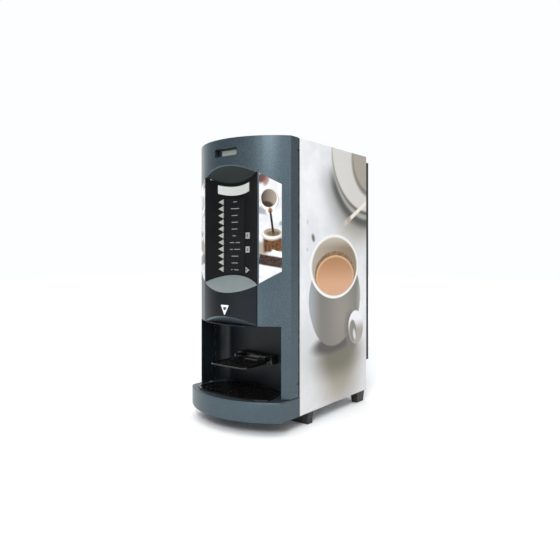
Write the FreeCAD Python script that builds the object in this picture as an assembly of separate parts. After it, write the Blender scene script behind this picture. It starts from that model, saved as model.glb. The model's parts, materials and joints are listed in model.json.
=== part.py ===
"""Table-top hot drinks vending machine: cabinet, bowed door, keypad, cup station and brewing gear.

Millimetres, +Z up, +X to the right seen from the front, +Y to the rear. Every piece is drawn
with y = 0 at the front edge of the side panels; put() moves it so that the origin lies on the
surface that the machine stands on, under the middle of its outline.
"""
import FreeCAD, Part
import math
import os

os.makedirs("parts", exist_ok=True)
V = FreeCAD.Vector

# ---- driving dimensions -------------------------------------------------------------------
WIDTH = 320.0
HALF = WIDTH / 2
HEIGHT = 750.0
CABINET_DEPTH = 350.0
FOOT_HEIGHT = 34.0
SHEET = 1.5
WALL = 3.0

BASE_TOP = 84.0
BASE_SIDE_DEPTH = 75.1
BASE_SAGITTA = 61.5

DOOR_BACK = -7.0
DOOR_BOTTOM = 85.5
DOOR_SIDE_DEPTH = 38.6
DOOR_SAGITTA = 72.9
DOOR_PIVOT_X = 154.0
DOOR_PIVOT_Y = -8.0

STATION_HALF = 142.6
STATION_TOP = 269.0
STATION_BACK = 34.0

COLUMN_HALF = 93.0
COLUMN_BOTTOM = 270.3
SCOOP_RADIUS = 223.0
SCOOP_BACK = -70.8
LEDGE_Z = 353.5
LEDGE_SLOPE = 1.044
SOFFIT_Z = 682.0
SOFFIT_SLOPE = -1.08
UNDERCUT_Z = 290.0
UNDERCUT_SLOPE = -0.94

KEY_COUNT = 11
KEY_X = -46.5
KEY_TOP_Z = 590.4
KEY_PITCH = 17.98
KEY_LENGTH = 16.0
KEY_HEIGHT = 15.4
KEY_PROUD = 2.0
KEY_FLANGE = 1.1
OPTION_X = 49.3
OPTION_ROWS = (5, 7)
CANCEL_ROW = 10

SHELF_TOP = 162.0
SHELF_HALF = 62.0
SHELF_FRONT = -105.0
SHELF_PIVOT_Y = -8.0
SHELF_PIVOT_Z = 167.0

REAR_COVER_DEPTH = 20.0
CANISTER_X = (-98.0, 0.0, 98.0)
CANISTER_WIDTH = 92.0
BOWL_X = (-68.0, 68.0)
LID_PIVOT_Y = 343.0
LID_PIVOT_Z = 743.0

# ---- values that follow -------------------------------------------------------------------
DOOR_FRONT = -(DOOR_SIDE_DEPTH + DOOR_SAGITTA)
DOOR_RADIUS = (HALF ** 2 + DOOR_SAGITTA ** 2) / (2 * DOOR_SAGITTA)
DOOR_CENTRE_Y = DOOR_FRONT + DOOR_RADIUS
BASE_FRONT = -(BASE_SIDE_DEPTH + BASE_SAGITTA)
BASE_RADIUS = (HALF ** 2 + BASE_SAGITTA ** 2) / (2 * BASE_SAGITTA)
BASE_CENTRE_Y = BASE_FRONT + BASE_RADIUS
SCOOP_CENTRE_Y = SCOOP_BACK - SCOOP_RADIUS
REAR = CABINET_DEPTH + REAR_COVER_DEPTH
ORIGIN_Y = (BASE_FRONT + REAR) / 2


# ---- small makers -------------------------------------------------------------------------
def block(x0, x1, y0, y1, z0, z1):
    return Part.makeBox(x1 - x0, y1 - y0, z1 - z0, V(x0, y0, z0))


def rod(radius, start, along, length):
    return Part.makeCylinder(radius, length, V(*start), V(*along))


def side_prism(points, x0, x1):
    """Solid between two widths over a closed outline given as (y, z)."""
    corners = [V(x0, y, z) for y, z in points]
    face = Part.Face(Part.makePolygon(corners + corners[:1]))
    return face.extrude(V(x1 - x0, 0, 0))


def bowed(half, back, centre_y, radius, z0, z1):
    """Upright solid with flat sides at +-half, a flat back and a front that is one arc."""
    side_y = centre_y - math.sqrt(radius ** 2 - half ** 2)
    left_back, left = V(-half, back, z0), V(-half, side_y, z0)
    right, right_back = V(half, side_y, z0), V(half, back, z0)
    front = V(0, centre_y - radius, z0)
    wire = Part.Wire([
        Part.LineSegment(left_back, left).toShape(),
        Part.Arc(left, front, right).toShape(),
        Part.LineSegment(right, right_back).toShape(),
        Part.LineSegment(right_back, left_back).toShape(),
    ])
    return Part.Face(wire).extrude(V(0, 0, z1 - z0))


def above(z_at_front, slope, half=200.0, front=-220.0, back=60.0, height=900.0):
    """Everything over the sloping plane that passes z_at_front at the door's foremost line."""
    def level(y):
        return z_at_front + slope * (y - DOOR_FRONT)
    outline = [(front, level(front)), (back, level(back)), (back, height), (front, height)]
    return side_prism(outline, -half, half)


def below(z_at_front, slope, half=200.0, front=-220.0, back=60.0, depth=-100.0):
    def level(y):
        return z_at_front + slope * (y - DOOR_FRONT)
    outline = [(front, depth), (back, depth), (back, level(back)), (front, level(front))]
    return side_prism(outline, -half, half)


def scoop_ring(inner, outer, half, z0, z1):
    """Slice of a wall that follows the hollow of the control panel."""
    middle = V(0, SCOOP_CENTRE_Y, z0)
    big = Part.makeCylinder(outer, z1 - z0, middle)
    small = Part.makeCylinder(inner, z1 - z0, middle)
    return big.cut(small).common(block(-half, half, SCOOP_CENTRE_Y + 100, 0, z0, z1))


def pipe(points, radius, bend):
    """Round bar along straight runs joined by tangent arcs of one bend radius."""
    corners = [V(*p) for p in points]
    edges = []
    start = corners[0]
    for before, corner, after in zip(corners, corners[1:], corners[2:]):
        into = (before - corner).normalize()
        out = (after - corner).normalize()
        half_angle = into.getAngle(out) / 2
        reach = bend / math.tan(half_angle)
        entry = corner + into * reach
        leave = corner + out * reach
        middle_way = (into + out).normalize()
        middle = corner + middle_way * (bend / math.sin(half_angle) - bend)
        edges.append(Part.LineSegment(start, entry).toShape())
        edges.append(Part.Arc(entry, middle, leave).toShape())
        start = leave
    edges.append(Part.LineSegment(start, corners[-1]).toShape())
    first = (corners[1] - corners[0]).normalize()
    profile = Part.Wire([Part.Circle(corners[0], first, radius).toShape()])
    return Part.Wire(edges).makePipeShell([profile], True, False)


def put(name, *shapes):
    """Writes one node, moved from the cabinet's front edge to the machine's own origin."""
    shape = shapes[0] if len(shapes) == 1 else Part.makeCompound(list(shapes))
    moved = shape.copy()
    moved.translate(V(0, -ORIGIN_Y, 0))
    moved.exportStep("parts/" + name + ".step")


# ---- cabinet ------------------------------------------------------------------------------
def chassis_base():
    """Folded pan that carries the boiler and the pump and takes the feet."""
    inner_half = HALF - SHEET - 0.3
    lip = 16.0
    front, back = 3.0, CABINET_DEPTH - 3.0
    outer = block(-inner_half, inner_half, front, back, FOOT_HEIGHT, FOOT_HEIGHT + lip)
    hollow = block(-inner_half + SHEET, inner_half - SHEET, front - 1, back - SHEET,
                   FOOT_HEIGHT + SHEET, FOOT_HEIGHT + lip + 1)
    return outer.cut(hollow)


def side_panel(side):
    """Sheet-steel side with a folded return along its rear edge."""
    outside, inside = side * HALF, side * (HALF - SHEET)
    flange = side * (HALF - 16.0)
    sheet = block(min(outside, inside), max(outside, inside), 0, CABINET_DEPTH,
                  FOOT_HEIGHT, HEIGHT)
    fold = block(min(inside, flange), max(inside, flange), CABINET_DEPTH - SHEET, CABINET_DEPTH,
                 FOOT_HEIGHT, HEIGHT - 8)
    return sheet.fuse(fold).removeSplitter()


SCREW_X = (-142.0, 142.0)
SCREW_Z = (150.0, 430.0, 706.0)
INLET_X = -100.0
WATER_X = 100.0
INLET_Z = 84.0


def rear_panel():
    """Flat steel back between the two side panels, with holes for the two inlets."""
    half = HALF - SHEET - 0.3
    back = CABINET_DEPTH - SHEET - 0.3
    sheet = block(-half, half, back - SHEET, back, FOOT_HEIGHT + 0.3 + 16, HEIGHT - 14)
    for x in SCREW_X:
        for z in SCREW_Z:
            sheet = sheet.cut(rod(2.2, (x, back - 5, z), (0, 1, 0), 10))
    sheet = sheet.cut(block(INLET_X - 14.3, INLET_X + 14.3, 300, 360, INLET_Z - 10.3, INLET_Z + 10.3))
    return sheet.cut(rod(9.3, (WATER_X, back - 5, INLET_Z), (0, 1, 0), 10))


def rear_cover():
    """Louvred black cover over the upper back, standing off the rear panel."""
    half, low, high = 156.0, 124.0, 733.0
    front = CABINET_DEPTH + 0.2
    body = block(-half, half, front, REAR, low, high)
    body = body.cut(block(-half + 2, half - 2, front - 1, REAR - 2, low + 2, high - 2))
    louvre_count, louvre_pitch, louvre_gap, louvre_half = 18, 14.0, 6.0, 100.0
    for bank_low in (190.0, 460.0):
        for row in range(louvre_count):
            z = bank_low + row * louvre_pitch - (0 if bank_low < 300 else 10)
            slot = block(-louvre_half, louvre_half, REAR - 5, REAR + 5, z, z + louvre_gap)
            body = body.cut(slot)
    for x in SCREW_X:
        for z in SCREW_Z:
            body = body.fuse(rod(7.0, (x, front, z), (0, 1, 0), REAR_COVER_DEPTH - 0.2))
            body = body.cut(rod(2.2, (x, front - 1, z), (0, 1, 0), REAR_COVER_DEPTH + 5))
            body = body.cut(rod(5.0, (x, REAR - 4, z), (0, 1, 0), 6))
    return body


def panel_screws():
    """Pan-head screws through the rear cover, one group of like fasteners."""
    screws = []
    for x in SCREW_X:
        for z in SCREW_Z:
            shank = rod(2.0, (x, CABINET_DEPTH - 8, z), (0, 1, 0), REAR_COVER_DEPTH + 5)
            head = rod(4.5, (x, REAR - 4, z), (0, 1, 0), 2.6)
            cross = block(x - 3, x + 3, REAR - 2.4, REAR, z - 0.5, z + 0.5)
            cross = cross.fuse(block(x - 0.5, x + 0.5, REAR - 2.4, REAR, z - 3, z + 3))
            screws.append(shank.fuse(head).cut(cross))
    return screws


LOCK_Z = 480.0
LOCK_Y = -24.0
LOCK_EDGE = 152.0          # the frame's left edge, where the lock's cam passes beside it
HINGE_Z = (118.0, 716.0)
HINGE_ARM = 3.0


def front_frame():
    """Steel frame behind the door, open at the cup station and in front of the canisters."""
    half = HALF - SHEET - 0.3
    low, high = FOOT_HEIGHT + SHEET + 0.3, HEIGHT - 5
    sheet = block(-half, half, 0.3, 2.3, low, high)
    sheet = sheet.cut(block(-LOCK_EDGE, 147.5, -1, 4, low - 1, 274))
    sheet = sheet.cut(block(-LOCK_EDGE, 139, -1, 4, 290, 732))
    for z in HINGE_Z:
        sheet = sheet.cut(block(DOOR_PIVOT_X - 4.4, half + 1, -1, 4, z - 0.4, z + HINGE_ARM + 0.4))
    return sheet.cut(block(-50, 50, -1, 4, 270, 295))


GRID_LOW = BASE_TOP + 0.5
GRID_TOP = BASE_TOP + 4.0


def tray_outline(grow):
    """Plan of the drip opening: bowed front, cut corners and sides that narrow to the rear."""
    half_points = [(98.0, -104.0), (124.0, -86.0), (117.0, -44.0), (99.0, -2.0), (70.0, 18.0)]
    (front_x, front_y), (corner_x, corner_y), (side_x, side_y), (rear_x, rear_y), (back_x, back_y) = half_points
    bow = V(0, front_y - 7.0, 0)
    path = [
        Part.Arc(V(-front_x, front_y, 0), bow, V(front_x, front_y, 0)).toShape(),
        Part.LineSegment(V(front_x, front_y, 0), V(corner_x, corner_y, 0)).toShape(),
        Part.Arc(V(corner_x, corner_y, 0), V(side_x, side_y, 0), V(rear_x, rear_y, 0)).toShape(),
        Part.LineSegment(V(rear_x, rear_y, 0), V(back_x, back_y, 0)).toShape(),
        Part.LineSegment(V(back_x, back_y, 0), V(-back_x, back_y, 0)).toShape(),
        Part.LineSegment(V(-back_x, back_y, 0), V(-rear_x, rear_y, 0)).toShape(),
        Part.Arc(V(-rear_x, rear_y, 0), V(-side_x, side_y, 0), V(-corner_x, corner_y, 0)).toShape(),
        Part.LineSegment(V(-corner_x, corner_y, 0), V(-front_x, front_y, 0)).toShape(),
    ]
    face = Part.Face(Part.Wire(path))
    return face.makeOffset2D(grow) if grow else face


def tray_prism(grow, z0, z1):
    """Upright solid over the drip opening, grown or shrunk all round."""
    body = tray_outline(grow).extrude(V(0, 0, z1 - z0))
    body.translate(V(0, 0, z0))
    return body


def drip_base():
    """Bowed housing of the drip tray, with a rear tongue that runs under the cup station."""
    front_part = bowed(HALF, -0.3, BASE_CENTRE_Y, BASE_RADIUS, FOOT_HEIGHT, BASE_TOP)
    rim = [edge for edge in front_part.Edges
           if abs(edge.CenterOfMass.z - BASE_TOP) < 0.1 and edge.CenterOfMass.y < -20]
    front_part = front_part.makeChamfer(3.0, rim)
    tongue = block(-146, 146, -0.3, 36.5, FOOT_HEIGHT + SHEET + 0.3, BASE_TOP)
    low, high = FOOT_HEIGHT - 1, BASE_TOP - WALL
    underside = bowed(HALF - WALL, -5, BASE_CENTRE_Y, BASE_RADIUS - WALL, low, high)
    underside = underside.fuse(block(-143, 143, -6, 33.5, low, high)).cut(tray_prism(3.0, 39.5, high + 1))
    body = front_part.fuse(tongue).cut(underside).cut(tray_prism(-2.0, 42, BASE_TOP + 5))
    return body.cut(tray_prism(1.0, BASE_TOP - 3, BASE_TOP + 5)).removeSplitter()


def drip_tray():
    """Lift-out tray that catches spills under the grid."""
    rim = BASE_TOP + 0.2
    outer = tray_prism(-3.0, 43, rim - 2.5)
    lip = tray_prism(0.4, rim - 2.5, rim)
    return outer.fuse(lip).cut(tray_prism(-5.0, 45, rim + 1)).removeSplitter()


def drip_grid():
    """Moulded grid: slanted bars that meet at a middle spine, in a frame, over cross ribs."""
    bar_width, pitch, slant = 3.4, 8.5, 32.0
    frame = tray_prism(0.0, GRID_LOW, GRID_TOP).cut(tray_prism(-5.0, GRID_LOW - 1, GRID_TOP + 1))
    field = tray_prism(-4.5, GRID_LOW, GRID_TOP - 0.4)
    made = [block(-2.0, 2.0, -120, 30, GRID_LOW, GRID_TOP - 0.4).common(field)]
    for side in (-1, 1):
        half_field = field.common(block(min(0, side * 140), max(0, side * 140), -140, 60, 80, 100))
        for row in range(-14, 15):
            bar = block(-20, 190, -bar_width / 2, bar_width / 2, GRID_LOW, GRID_TOP)
            bar.rotate(V(0, 0, 0), V(0, 0, 1), slant)
            if side < 0:
                bar = bar.mirror(V(0, 0, 0), V(1, 0, 0))
            bar.translate(V(0, -80 + row * pitch / math.cos(math.radians(slant)), 0))
            bar = bar.common(half_field)
            if bar.Volume > 1:
                made.append(bar)
    for y in (-84.0, -50.0, -16.0):
        made.append(block(-130, 130, y - 1, y + 1, GRID_LOW, GRID_LOW + 1.2).common(field))
    return frame.multiFuse(made).removeSplitter()


def cup_station_liner():
    """Back of the cup station: rear wall, rounded upright corners, side returns and ceiling."""
    radius, wall = 33.0, 2.0
    low, high = BASE_TOP + 0.3, STATION_TOP + wall + 1

    def outline(half, back, bend, z0, z1):
        body = block(-half, half, 0.6, back, z0, z1)
        upright = [edge for edge in body.Edges
                   if abs(edge.CenterOfMass.y - back) < 0.1
                   and abs(abs(edge.CenterOfMass.x) - half) < 0.1]
        return body.makeFillet(bend, upright)
    outer = outline(STATION_HALF + wall, STATION_BACK + wall, radius + wall - 0.5, low, high)
    inner = outline(STATION_HALF, STATION_BACK, radius, low - 5, high - wall)
    body = outer.cut(inner)
    return body.cut(block(-46, 46, -5, 20, STATION_TOP - 5, high + 5))


def shelf_bracket():
    """Box bracket on the back wall with two ears, and the steel pin that they hold."""
    body = block(-62, 62, 8, STATION_BACK - 0.1, 152, 176)
    body = body.cut(block(-58, 58, 5, STATION_BACK - 4, 148, 172))
    ears = [block(x - 3, x + 3, SHELF_PIVOT_Y - 6, 10, SHELF_PIVOT_Z - 6, SHELF_PIVOT_Z + 6)
            for x in (-52, 52)]
    body = body.multiFuse(ears)
    pin = rod(2.5, (-56, SHELF_PIVOT_Y, SHELF_PIVOT_Z), (1, 0, 0), 112)
    hole = rod(2.5, (-70, SHELF_PIVOT_Y, SHELF_PIVOT_Z), (1, 0, 0), 140)
    return [body.cut(hole), pin]


def cup_shelf():
    """Fold-up cup shelf: perforated plate with a rim and two bored knuckles on the pin."""
    thick = 4.0
    back = SHELF_PIVOT_Y - 8
    plate = block(-SHELF_HALF, SHELF_HALF, SHELF_FRONT, back, SHELF_TOP - thick, SHELF_TOP)
    corners = [edge for edge in plate.Edges
               if abs(edge.CenterOfMass.y - SHELF_FRONT) < 0.1 and edge.Length < thick + 0.1
               and abs(abs(edge.CenterOfMass.x) - SHELF_HALF) < 0.1]
    plate = plate.makeFillet(14.0, corners)
    dish = block(-SHELF_HALF + 5, SHELF_HALF - 5, SHELF_FRONT + 5, back - 4, SHELF_TOP - 1.2,
                 SHELF_TOP + 1)
    plate = plate.cut(dish)
    slot_length, slot_width, pitch = 22.0, 3.6, 7.4
    holes = []
    for column in (-41.0, -13.7, 13.7, 41.0):
        for row in range(9):
            y = SHELF_FRONT + 13 + row * pitch
            holes.append(block(column - slot_length / 2, column + slot_length / 2,
                               y, y + slot_width, SHELF_TOP - 10, SHELF_TOP + 5))
    plate = plate.cut(Part.makeCompound(holes))
    for x0, x1 in ((-48.6, -30.0), (30.0, 48.6)):
        knuckle = rod(5.2, (x0, SHELF_PIVOT_Y, SHELF_PIVOT_Z), (1, 0, 0), x1 - x0)
        web = block(x0, x1, back - 6, SHELF_PIVOT_Y, SHELF_TOP - thick, SHELF_PIVOT_Z - 2)
        plate = plate.fuse(web).fuse(knuckle)
    bore = rod(2.55, (-80, SHELF_PIVOT_Y, SHELF_PIVOT_Z), (1, 0, 0), 160)
    return plate.cut(bore).removeSplitter()


def feet():
    """Two splayed front feet and two narrow rear feet, moulded in dark plastic."""
    made = []
    for side in (-1, 1):
        def tapered(x0, x1, y0, y1, shrink):
            top = FOOT_HEIGHT - 0.2
            low = Part.makePolygon([V(side * (x0 + shrink), y0 + shrink, 0),
                                    V(side * (x1 - shrink), y0 + shrink, 0),
                                    V(side * (x1 - shrink), y1 - shrink, 0),
                                    V(side * (x0 + shrink), y1 - shrink, 0),
                                    V(side * (x0 + shrink), y0 + shrink, 0)])
            high = Part.makePolygon([V(side * x0, y0, top), V(side * x1, y0, top),
                                     V(side * x1, y1, top), V(side * x0, y1, top),
                                     V(side * x0, y0, top)])
            return Part.makeLoft([low, high], True, True)
        made.append(tapered(94, 156, 42, 68, 2.5))
        made.append(tapered(131, 156, 302, 346, 3.0))
    return made


# ---- brewing gear -------------------------------------------------------------------------
DECK_Z = 486.0
DECK_FRONT, DECK_BACK = 12.0, 270.0
MIXER_Y = 104.0
CANISTER_FRONT, CANISTER_BACK = 22.0, 214.0
CANISTER_LOW, CANISTER_HIGH = DECK_Z + 2.3, 704.0
AUGER_Z = 508.0
AUGER_TROUGH = 15.0
CHUTE_Y = 36.0
BOWL_FRONT, BOWL_BACK = 16.0, 98.0
BOWL_TOP, BOWL_FLOOR = 474.0, 430.0
CHAMBER_Z = 418.0
CHAMBER_RADIUS = 24.0


def chute_x(canister_x):
    """The middle canister's chute is offset so that it falls into the left-hand bowl."""
    return canister_x if canister_x else -30.0


def equipment_deck():
    """Folded steel deck under the canisters with a hanging plate for the mixers."""
    half = 154.0
    deck = block(-half, half, DECK_FRONT, DECK_BACK, DECK_Z, DECK_Z + 2)
    hanger = block(-half, half, MIXER_Y, MIXER_Y + 2, 385, DECK_Z + 0.5)
    ends = [block(x, x + 2, DECK_FRONT, DECK_BACK, DECK_Z - 40, DECK_Z + 0.5)
            for x in (-half, half - 2)]
    deck = deck.fuse(hanger).multiFuse(ends)
    for x in CANISTER_X:
        deck = deck.cut(rod(15.0, (chute_x(x), CHUTE_Y, DECK_Z - 5), (0, 0, 1), 12))
    for x in BOWL_X:
        deck = deck.cut(rod(9.0, (x, MIXER_Y - 5, CHAMBER_Z), (0, 1, 0), 12))
    return deck.removeSplitter()


def canister(x):
    """Powder canister: open-topped box over a trough for the auger, with a chute at the front."""
    half = CANISTER_WIDTH / 2
    z_floor = AUGER_Z + 22
    wall = 2.5

    def body(inset):
        outline = [(x - half + inset, z_floor + 26), (x - AUGER_TROUGH + inset * 0.8, AUGER_Z),
                   (x + AUGER_TROUGH - inset * 0.8, AUGER_Z), (x + half - inset, z_floor + 26),
                   (x + half - inset, CANISTER_HIGH + inset), (x - half + inset, CANISTER_HIGH + inset)]
        corners = [V(px, CANISTER_FRONT + inset, pz) for px, pz in outline]
        face = Part.Face(Part.makePolygon(corners + corners[:1]))
        hopper = face.extrude(V(0, CANISTER_BACK - CANISTER_FRONT - 2 * inset, 0))
        trough = rod(AUGER_TROUGH - inset * 0.8, (x, CANISTER_FRONT + inset, AUGER_Z), (0, 1, 0),
                     CANISTER_BACK - CANISTER_FRONT - 2 * inset)
        return hopper.fuse(trough)
    outer = body(0)
    drop = chute_x(x)
    spout = rod(12.5, (drop, CHUTE_Y, CANISTER_LOW - 8), (0, 0, 1), AUGER_Z - CANISTER_LOW + 8)
    bore = rod(10.5, (drop, CHUTE_Y, CANISTER_LOW - 12), (0, 0, 1), AUGER_Z - CANISTER_LOW + 12)
    if drop != x:
        duct = block(drop - 12.5, x, CHUTE_Y - 12.5, CHUTE_Y + 12.5, CANISTER_LOW + 4, AUGER_Z)
        duct_bore = block(drop, x, CHUTE_Y - 10, CHUTE_Y + 10, CANISTER_LOW + 6.5, AUGER_Z - 2.5)
        outer = outer.fuse(duct)
        bore = bore.fuse(duct_bore)
    feet_rail = block(x - 12, x + 12, 150, CANISTER_BACK - 6, CANISTER_LOW, AUGER_Z - 8)
    outer = outer.fuse(spout).fuse(feet_rail)
    shaft_hole = rod(4.05, (x, CANISTER_BACK - 10, AUGER_Z), (0, 1, 0), 20)
    return outer.cut(body(wall)).cut(bore).cut(shaft_hole)


def auger(x):
    """Dosing screw: one flight wound on a shaft that a gear motor turns from behind."""
    pitch, turns, shaft_radius, flight_radius = 22.0, 7, 4.0, 11.5
    helix = Part.makeHelix(pitch, pitch * turns, 7.0)
    profile = Part.makePolygon([V(3.6, 0, -0.9), V(flight_radius, 0, -0.6),
                                V(flight_radius, 0, 0.6), V(3.6, 0, 0.9), V(3.6, 0, -0.9)])
    flight = Part.Wire(helix.Edges).makePipeShell([profile], True, True)
    shaft = Part.makeCylinder(shaft_radius, 196.0, V(0, 0, -10))
    screw = shaft.fuse(flight)
    screw.rotate(V(0, 0, 0), V(1, 0, 0), -90)
    screw.translate(V(x, CANISTER_FRONT + 16, AUGER_Z))
    return screw


def canister_lid():
    """One-piece lid over the three canisters with a moulded grip on top of each."""
    half = CANISTER_X[2] + CANISTER_WIDTH / 2 + 3
    plate = block(-half, half, CANISTER_FRONT - 3, CANISTER_BACK + 3, CANISTER_HIGH + 0.3,
                  CANISTER_HIGH + 3)
    skirts = [block(-half, half, y, y + 2, CANISTER_HIGH - 8, CANISTER_HIGH + 1)
              for y in (CANISTER_FRONT - 3, CANISTER_BACK + 1)]
    grips = [block(x - 18, x + 18, 112, 120, CANISTER_HIGH + 2, CANISTER_HIGH + 14)
             for x in CANISTER_X]
    return plate.multiFuse(skirts + grips).removeSplitter()


MOTOR_GAP = 0.4


def gear_motors():
    """Dosing motors behind the canisters and whipper motors behind the hanging plate."""
    motors = []
    for x in CANISTER_X:
        y = CANISTER_BACK + MOTOR_GAP
        gearbox = block(x - 20, x + 20, y, y + 24, AUGER_Z - 19.4, AUGER_Z + 40)
        case = rod(17, (x, y + 24, AUGER_Z + 16), (0, 1, 0), 30)
        stub = rod(4.05, (x, y - 1, AUGER_Z), (0, 1, 0), 16)
        motors.append(gearbox.fuse(case).cut(stub))
    for x in BOWL_X:
        y = MIXER_Y + 2.0 + MOTOR_GAP
        flange = block(x - 24, x + 24, y, y + 4, CHAMBER_Z - 24, CHAMBER_Z + 24)
        case = rod(20, (x, y + 4, CHAMBER_Z), (0, 1, 0), 56)
        stub = rod(3.05, (x, y - 1, CHAMBER_Z), (0, 1, 0), 26)
        motors.append(flange.fuse(case).cut(stub))
    return motors


def mixing_bowl(x):
    """Mixing bowl: wide funnel over a round whipping chamber with an outlet at its foot."""
    wall = 2.0

    def body(inset):
        half = 56.0 - inset
        outline = [(x - 20 + inset, BOWL_FLOOR), (x + 20 - inset, BOWL_FLOOR),
                   (x + half, BOWL_FLOOR + 18), (x + half, BOWL_TOP + inset),
                   (x - half, BOWL_TOP + inset), (x - half, BOWL_FLOOR + 18)]
        corners = [V(px, BOWL_FRONT + inset, pz) for px, pz in outline]
        face = Part.Face(Part.makePolygon(corners + corners[:1]))
        funnel = face.extrude(V(0, BOWL_BACK - 30 - BOWL_FRONT - 2 * inset, 0))
        chamber = rod(CHAMBER_RADIUS - inset, (x, BOWL_FRONT + 22 + inset, CHAMBER_Z), (0, 1, 0),
                      BOWL_BACK - BOWL_FRONT - 22 - 2 * inset)
        return funnel.fuse(chamber)
    outlet_low = CHAMBER_Z - CHAMBER_RADIUS - 12
    outlet = rod(7.0, (x, 60, outlet_low), (0, 0, 1), 20)
    outlet_bore = rod(5.0, (x, 60, outlet_low - 1), (0, 0, 1), 26)
    collar = rod(8.0, (x, BOWL_BACK - 2, CHAMBER_Z), (0, 1, 0), MIXER_Y - BOWL_BACK + 1.6)
    shaft_hole = rod(3.06, (x, BOWL_BACK - 8, CHAMBER_Z), (0, 1, 0), 20)
    outer = body(0).fuse(outlet).fuse(collar)
    return outer.cut(body(wall)).cut(outlet_bore).cut(shaft_hole)


def whipper(x):
    """Whipper: shaft with a disc and four low blades in the chamber."""
    shaft = rod(3.0, (x, 62, CHAMBER_Z), (0, 1, 0), 68)
    disc = rod(15.0, (x, 78, CHAMBER_Z), (0, 1, 0), 3)
    blades = []
    for quarter in range(4):
        blade = block(x + 4, x + 14, 68, 79, CHAMBER_Z - 1, CHAMBER_Z + 1)
        blade.rotate(V(x, 0, CHAMBER_Z), V(0, 1, 0), 90 * quarter)
        blades.append(blade)
    return shaft.multiFuse([disc] + blades).removeSplitter()


NOZZLE_Y = -55.0
NOZZLE_X = (-18.0, 18.0)


def nozzle_head():
    """Arm from the front frame that holds the drink nozzles over the cup."""
    arm = block(-34, 34, NOZZLE_Y - 20, 12, 284, 288)
    cheek = block(-34, 34, 3, 7, 288, 322)
    head = block(-32, 32, NOZZLE_Y - 16, NOZZLE_Y + 16, 270, 284)
    body = arm.fuse(cheek).fuse(head)
    for x in NOZZLE_X:
        body = body.fuse(rod(8.0, (x, NOZZLE_Y, 258), (0, 0, 1), 13))
        body = body.fuse(rod(8.0, (x, NOZZLE_Y, 288), (0, 0, 1), 12))
    for x in NOZZLE_X:
        body = body.cut(rod(5.0, (x, NOZZLE_Y, 250), (0, 0, 1), 60))
    return body.removeSplitter()


def mixer_hoses():
    """Silicone hoses from the mixing bowls down to the nozzle head."""
    hoses = []
    top = CHAMBER_Z - CHAMBER_RADIUS - 12.2
    for bowl_x, nozzle_x in zip(BOWL_X, NOZZLE_X):
        route = [(bowl_x, 60, top), (bowl_x, 60, top - 42), (nozzle_x, NOZZLE_Y, top - 46),
                 (nozzle_x, NOZZLE_Y, 300.2)]
        hoses.append(pipe(route, 6.0, 20.0))
    return hoses


def boiler():
    """Upright insulated boiler with dished ends, three legs and a ring of fittings on top."""
    x, y, radius, low, high = -72.0, 240.0, 58.0, 62.0, 330.0
    drum = rod(radius, (x, y, low), (0, 0, 1), high - low)
    ends = [edge for edge in drum.Edges if edge.Closed]
    drum = drum.makeFillet(18.0, ends)
    made = [drum]
    for turn in range(3):
        angle = math.radians(120 * turn + 30)
        leg_x, leg_y = x + 38 * math.cos(angle), y + 38 * math.sin(angle)
        made.append(rod(6, (leg_x, leg_y, FOOT_HEIGHT + SHEET + 0.2), (0, 0, 1), 40))
    for offset in (-24, 0, 24):
        made.append(rod(6, (x + offset, y, high - 6), (0, 0, 1), 26))
    return made[0].multiFuse(made[1:]).removeSplitter()


def water_pump():
    """Vibration pump and inlet valve on a foot plate."""
    floor = FOOT_HEIGHT + SHEET + 0.2
    foot = block(40, 130, 150, 250, floor, floor + 3)
    body = rod(26, (60, 200, floor + 40), (1, 0, 0), 52)
    saddle = block(66, 106, 180, 220, floor + 2, floor + 24)
    ports = [rod(5, (50, 200, floor + 40), (1, 0, 0), 12), rod(5, (110, 200, floor + 40), (1, 0, 0), 16)]
    coil = block(64, 104, 174, 226, floor + 52, floor + 70)
    return foot.fuse(saddle).fuse(body).multiFuse(ports + [coil]).removeSplitter()


def control_board():
    """Main circuit board on stand-offs with its power supply, relays and connectors."""
    back = CABINET_DEPTH - 2 * SHEET - 0.4
    board = block(-130, 50, back - 12, back - 10, 540, 700)
    made = [board]
    for x in (-122, 42):
        for z in (548, 692):
            made.append(rod(3, (x, back - 10.5, z), (0, 1, 0), 10.5))
    made.append(block(-120, -60, back - 40, back - 11, 560, 620))
    for column in range(4):
        left = -48 + column * 24
        made.append(block(left, left + 18, back - 28, back - 11, 556, 584))
    made.append(block(-30, 30, back - 16, back - 11, 620, 660))
    return made[0].multiFuse(made[1:]).removeSplitter()


def rear_inlets():
    """Appliance inlet for the mains and a threaded water inlet, both low on the back."""
    back = CABINET_DEPTH - SHEET - 0.3
    shell = block(INLET_X - 14, INLET_X + 14, back - 16, back + 2.0, INLET_Z - 10, INLET_Z + 10)
    flange = block(INLET_X - 20, INLET_X + 20, back + 0.1, back + 3.1, INLET_Z - 14, INLET_Z + 14)
    mains = shell.fuse(flange)
    mains = mains.cut(block(INLET_X - 11.5, INLET_X + 11.5, back - 12, back + 5,
                            INLET_Z - 7.5, INLET_Z + 7.5))
    blades = [block(INLET_X + x - 1, INLET_X + x + 1, back - 13, back - 1, INLET_Z + z - 2, INLET_Z + z + 2)
              for x, z in ((-7, -1), (0, 2), (7, -1))]
    stem = rod(9.0, (WATER_X, back - 24, INLET_Z), (0, 1, 0), 40)
    nut = rod(14.0, (WATER_X, back + 0.1, INLET_Z), (0, 1, 0), 5)
    stem = stem.fuse(nut).cut(rod(6.0, (WATER_X, back - 30, INLET_Z), (0, 1, 0), 60))
    return [mains.multiFuse(blades).removeSplitter(), stem]


# ---- top cover and hinges -----------------------------------------------------------------
LID_HINGE_X = (-110.0, 110.0)


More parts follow.
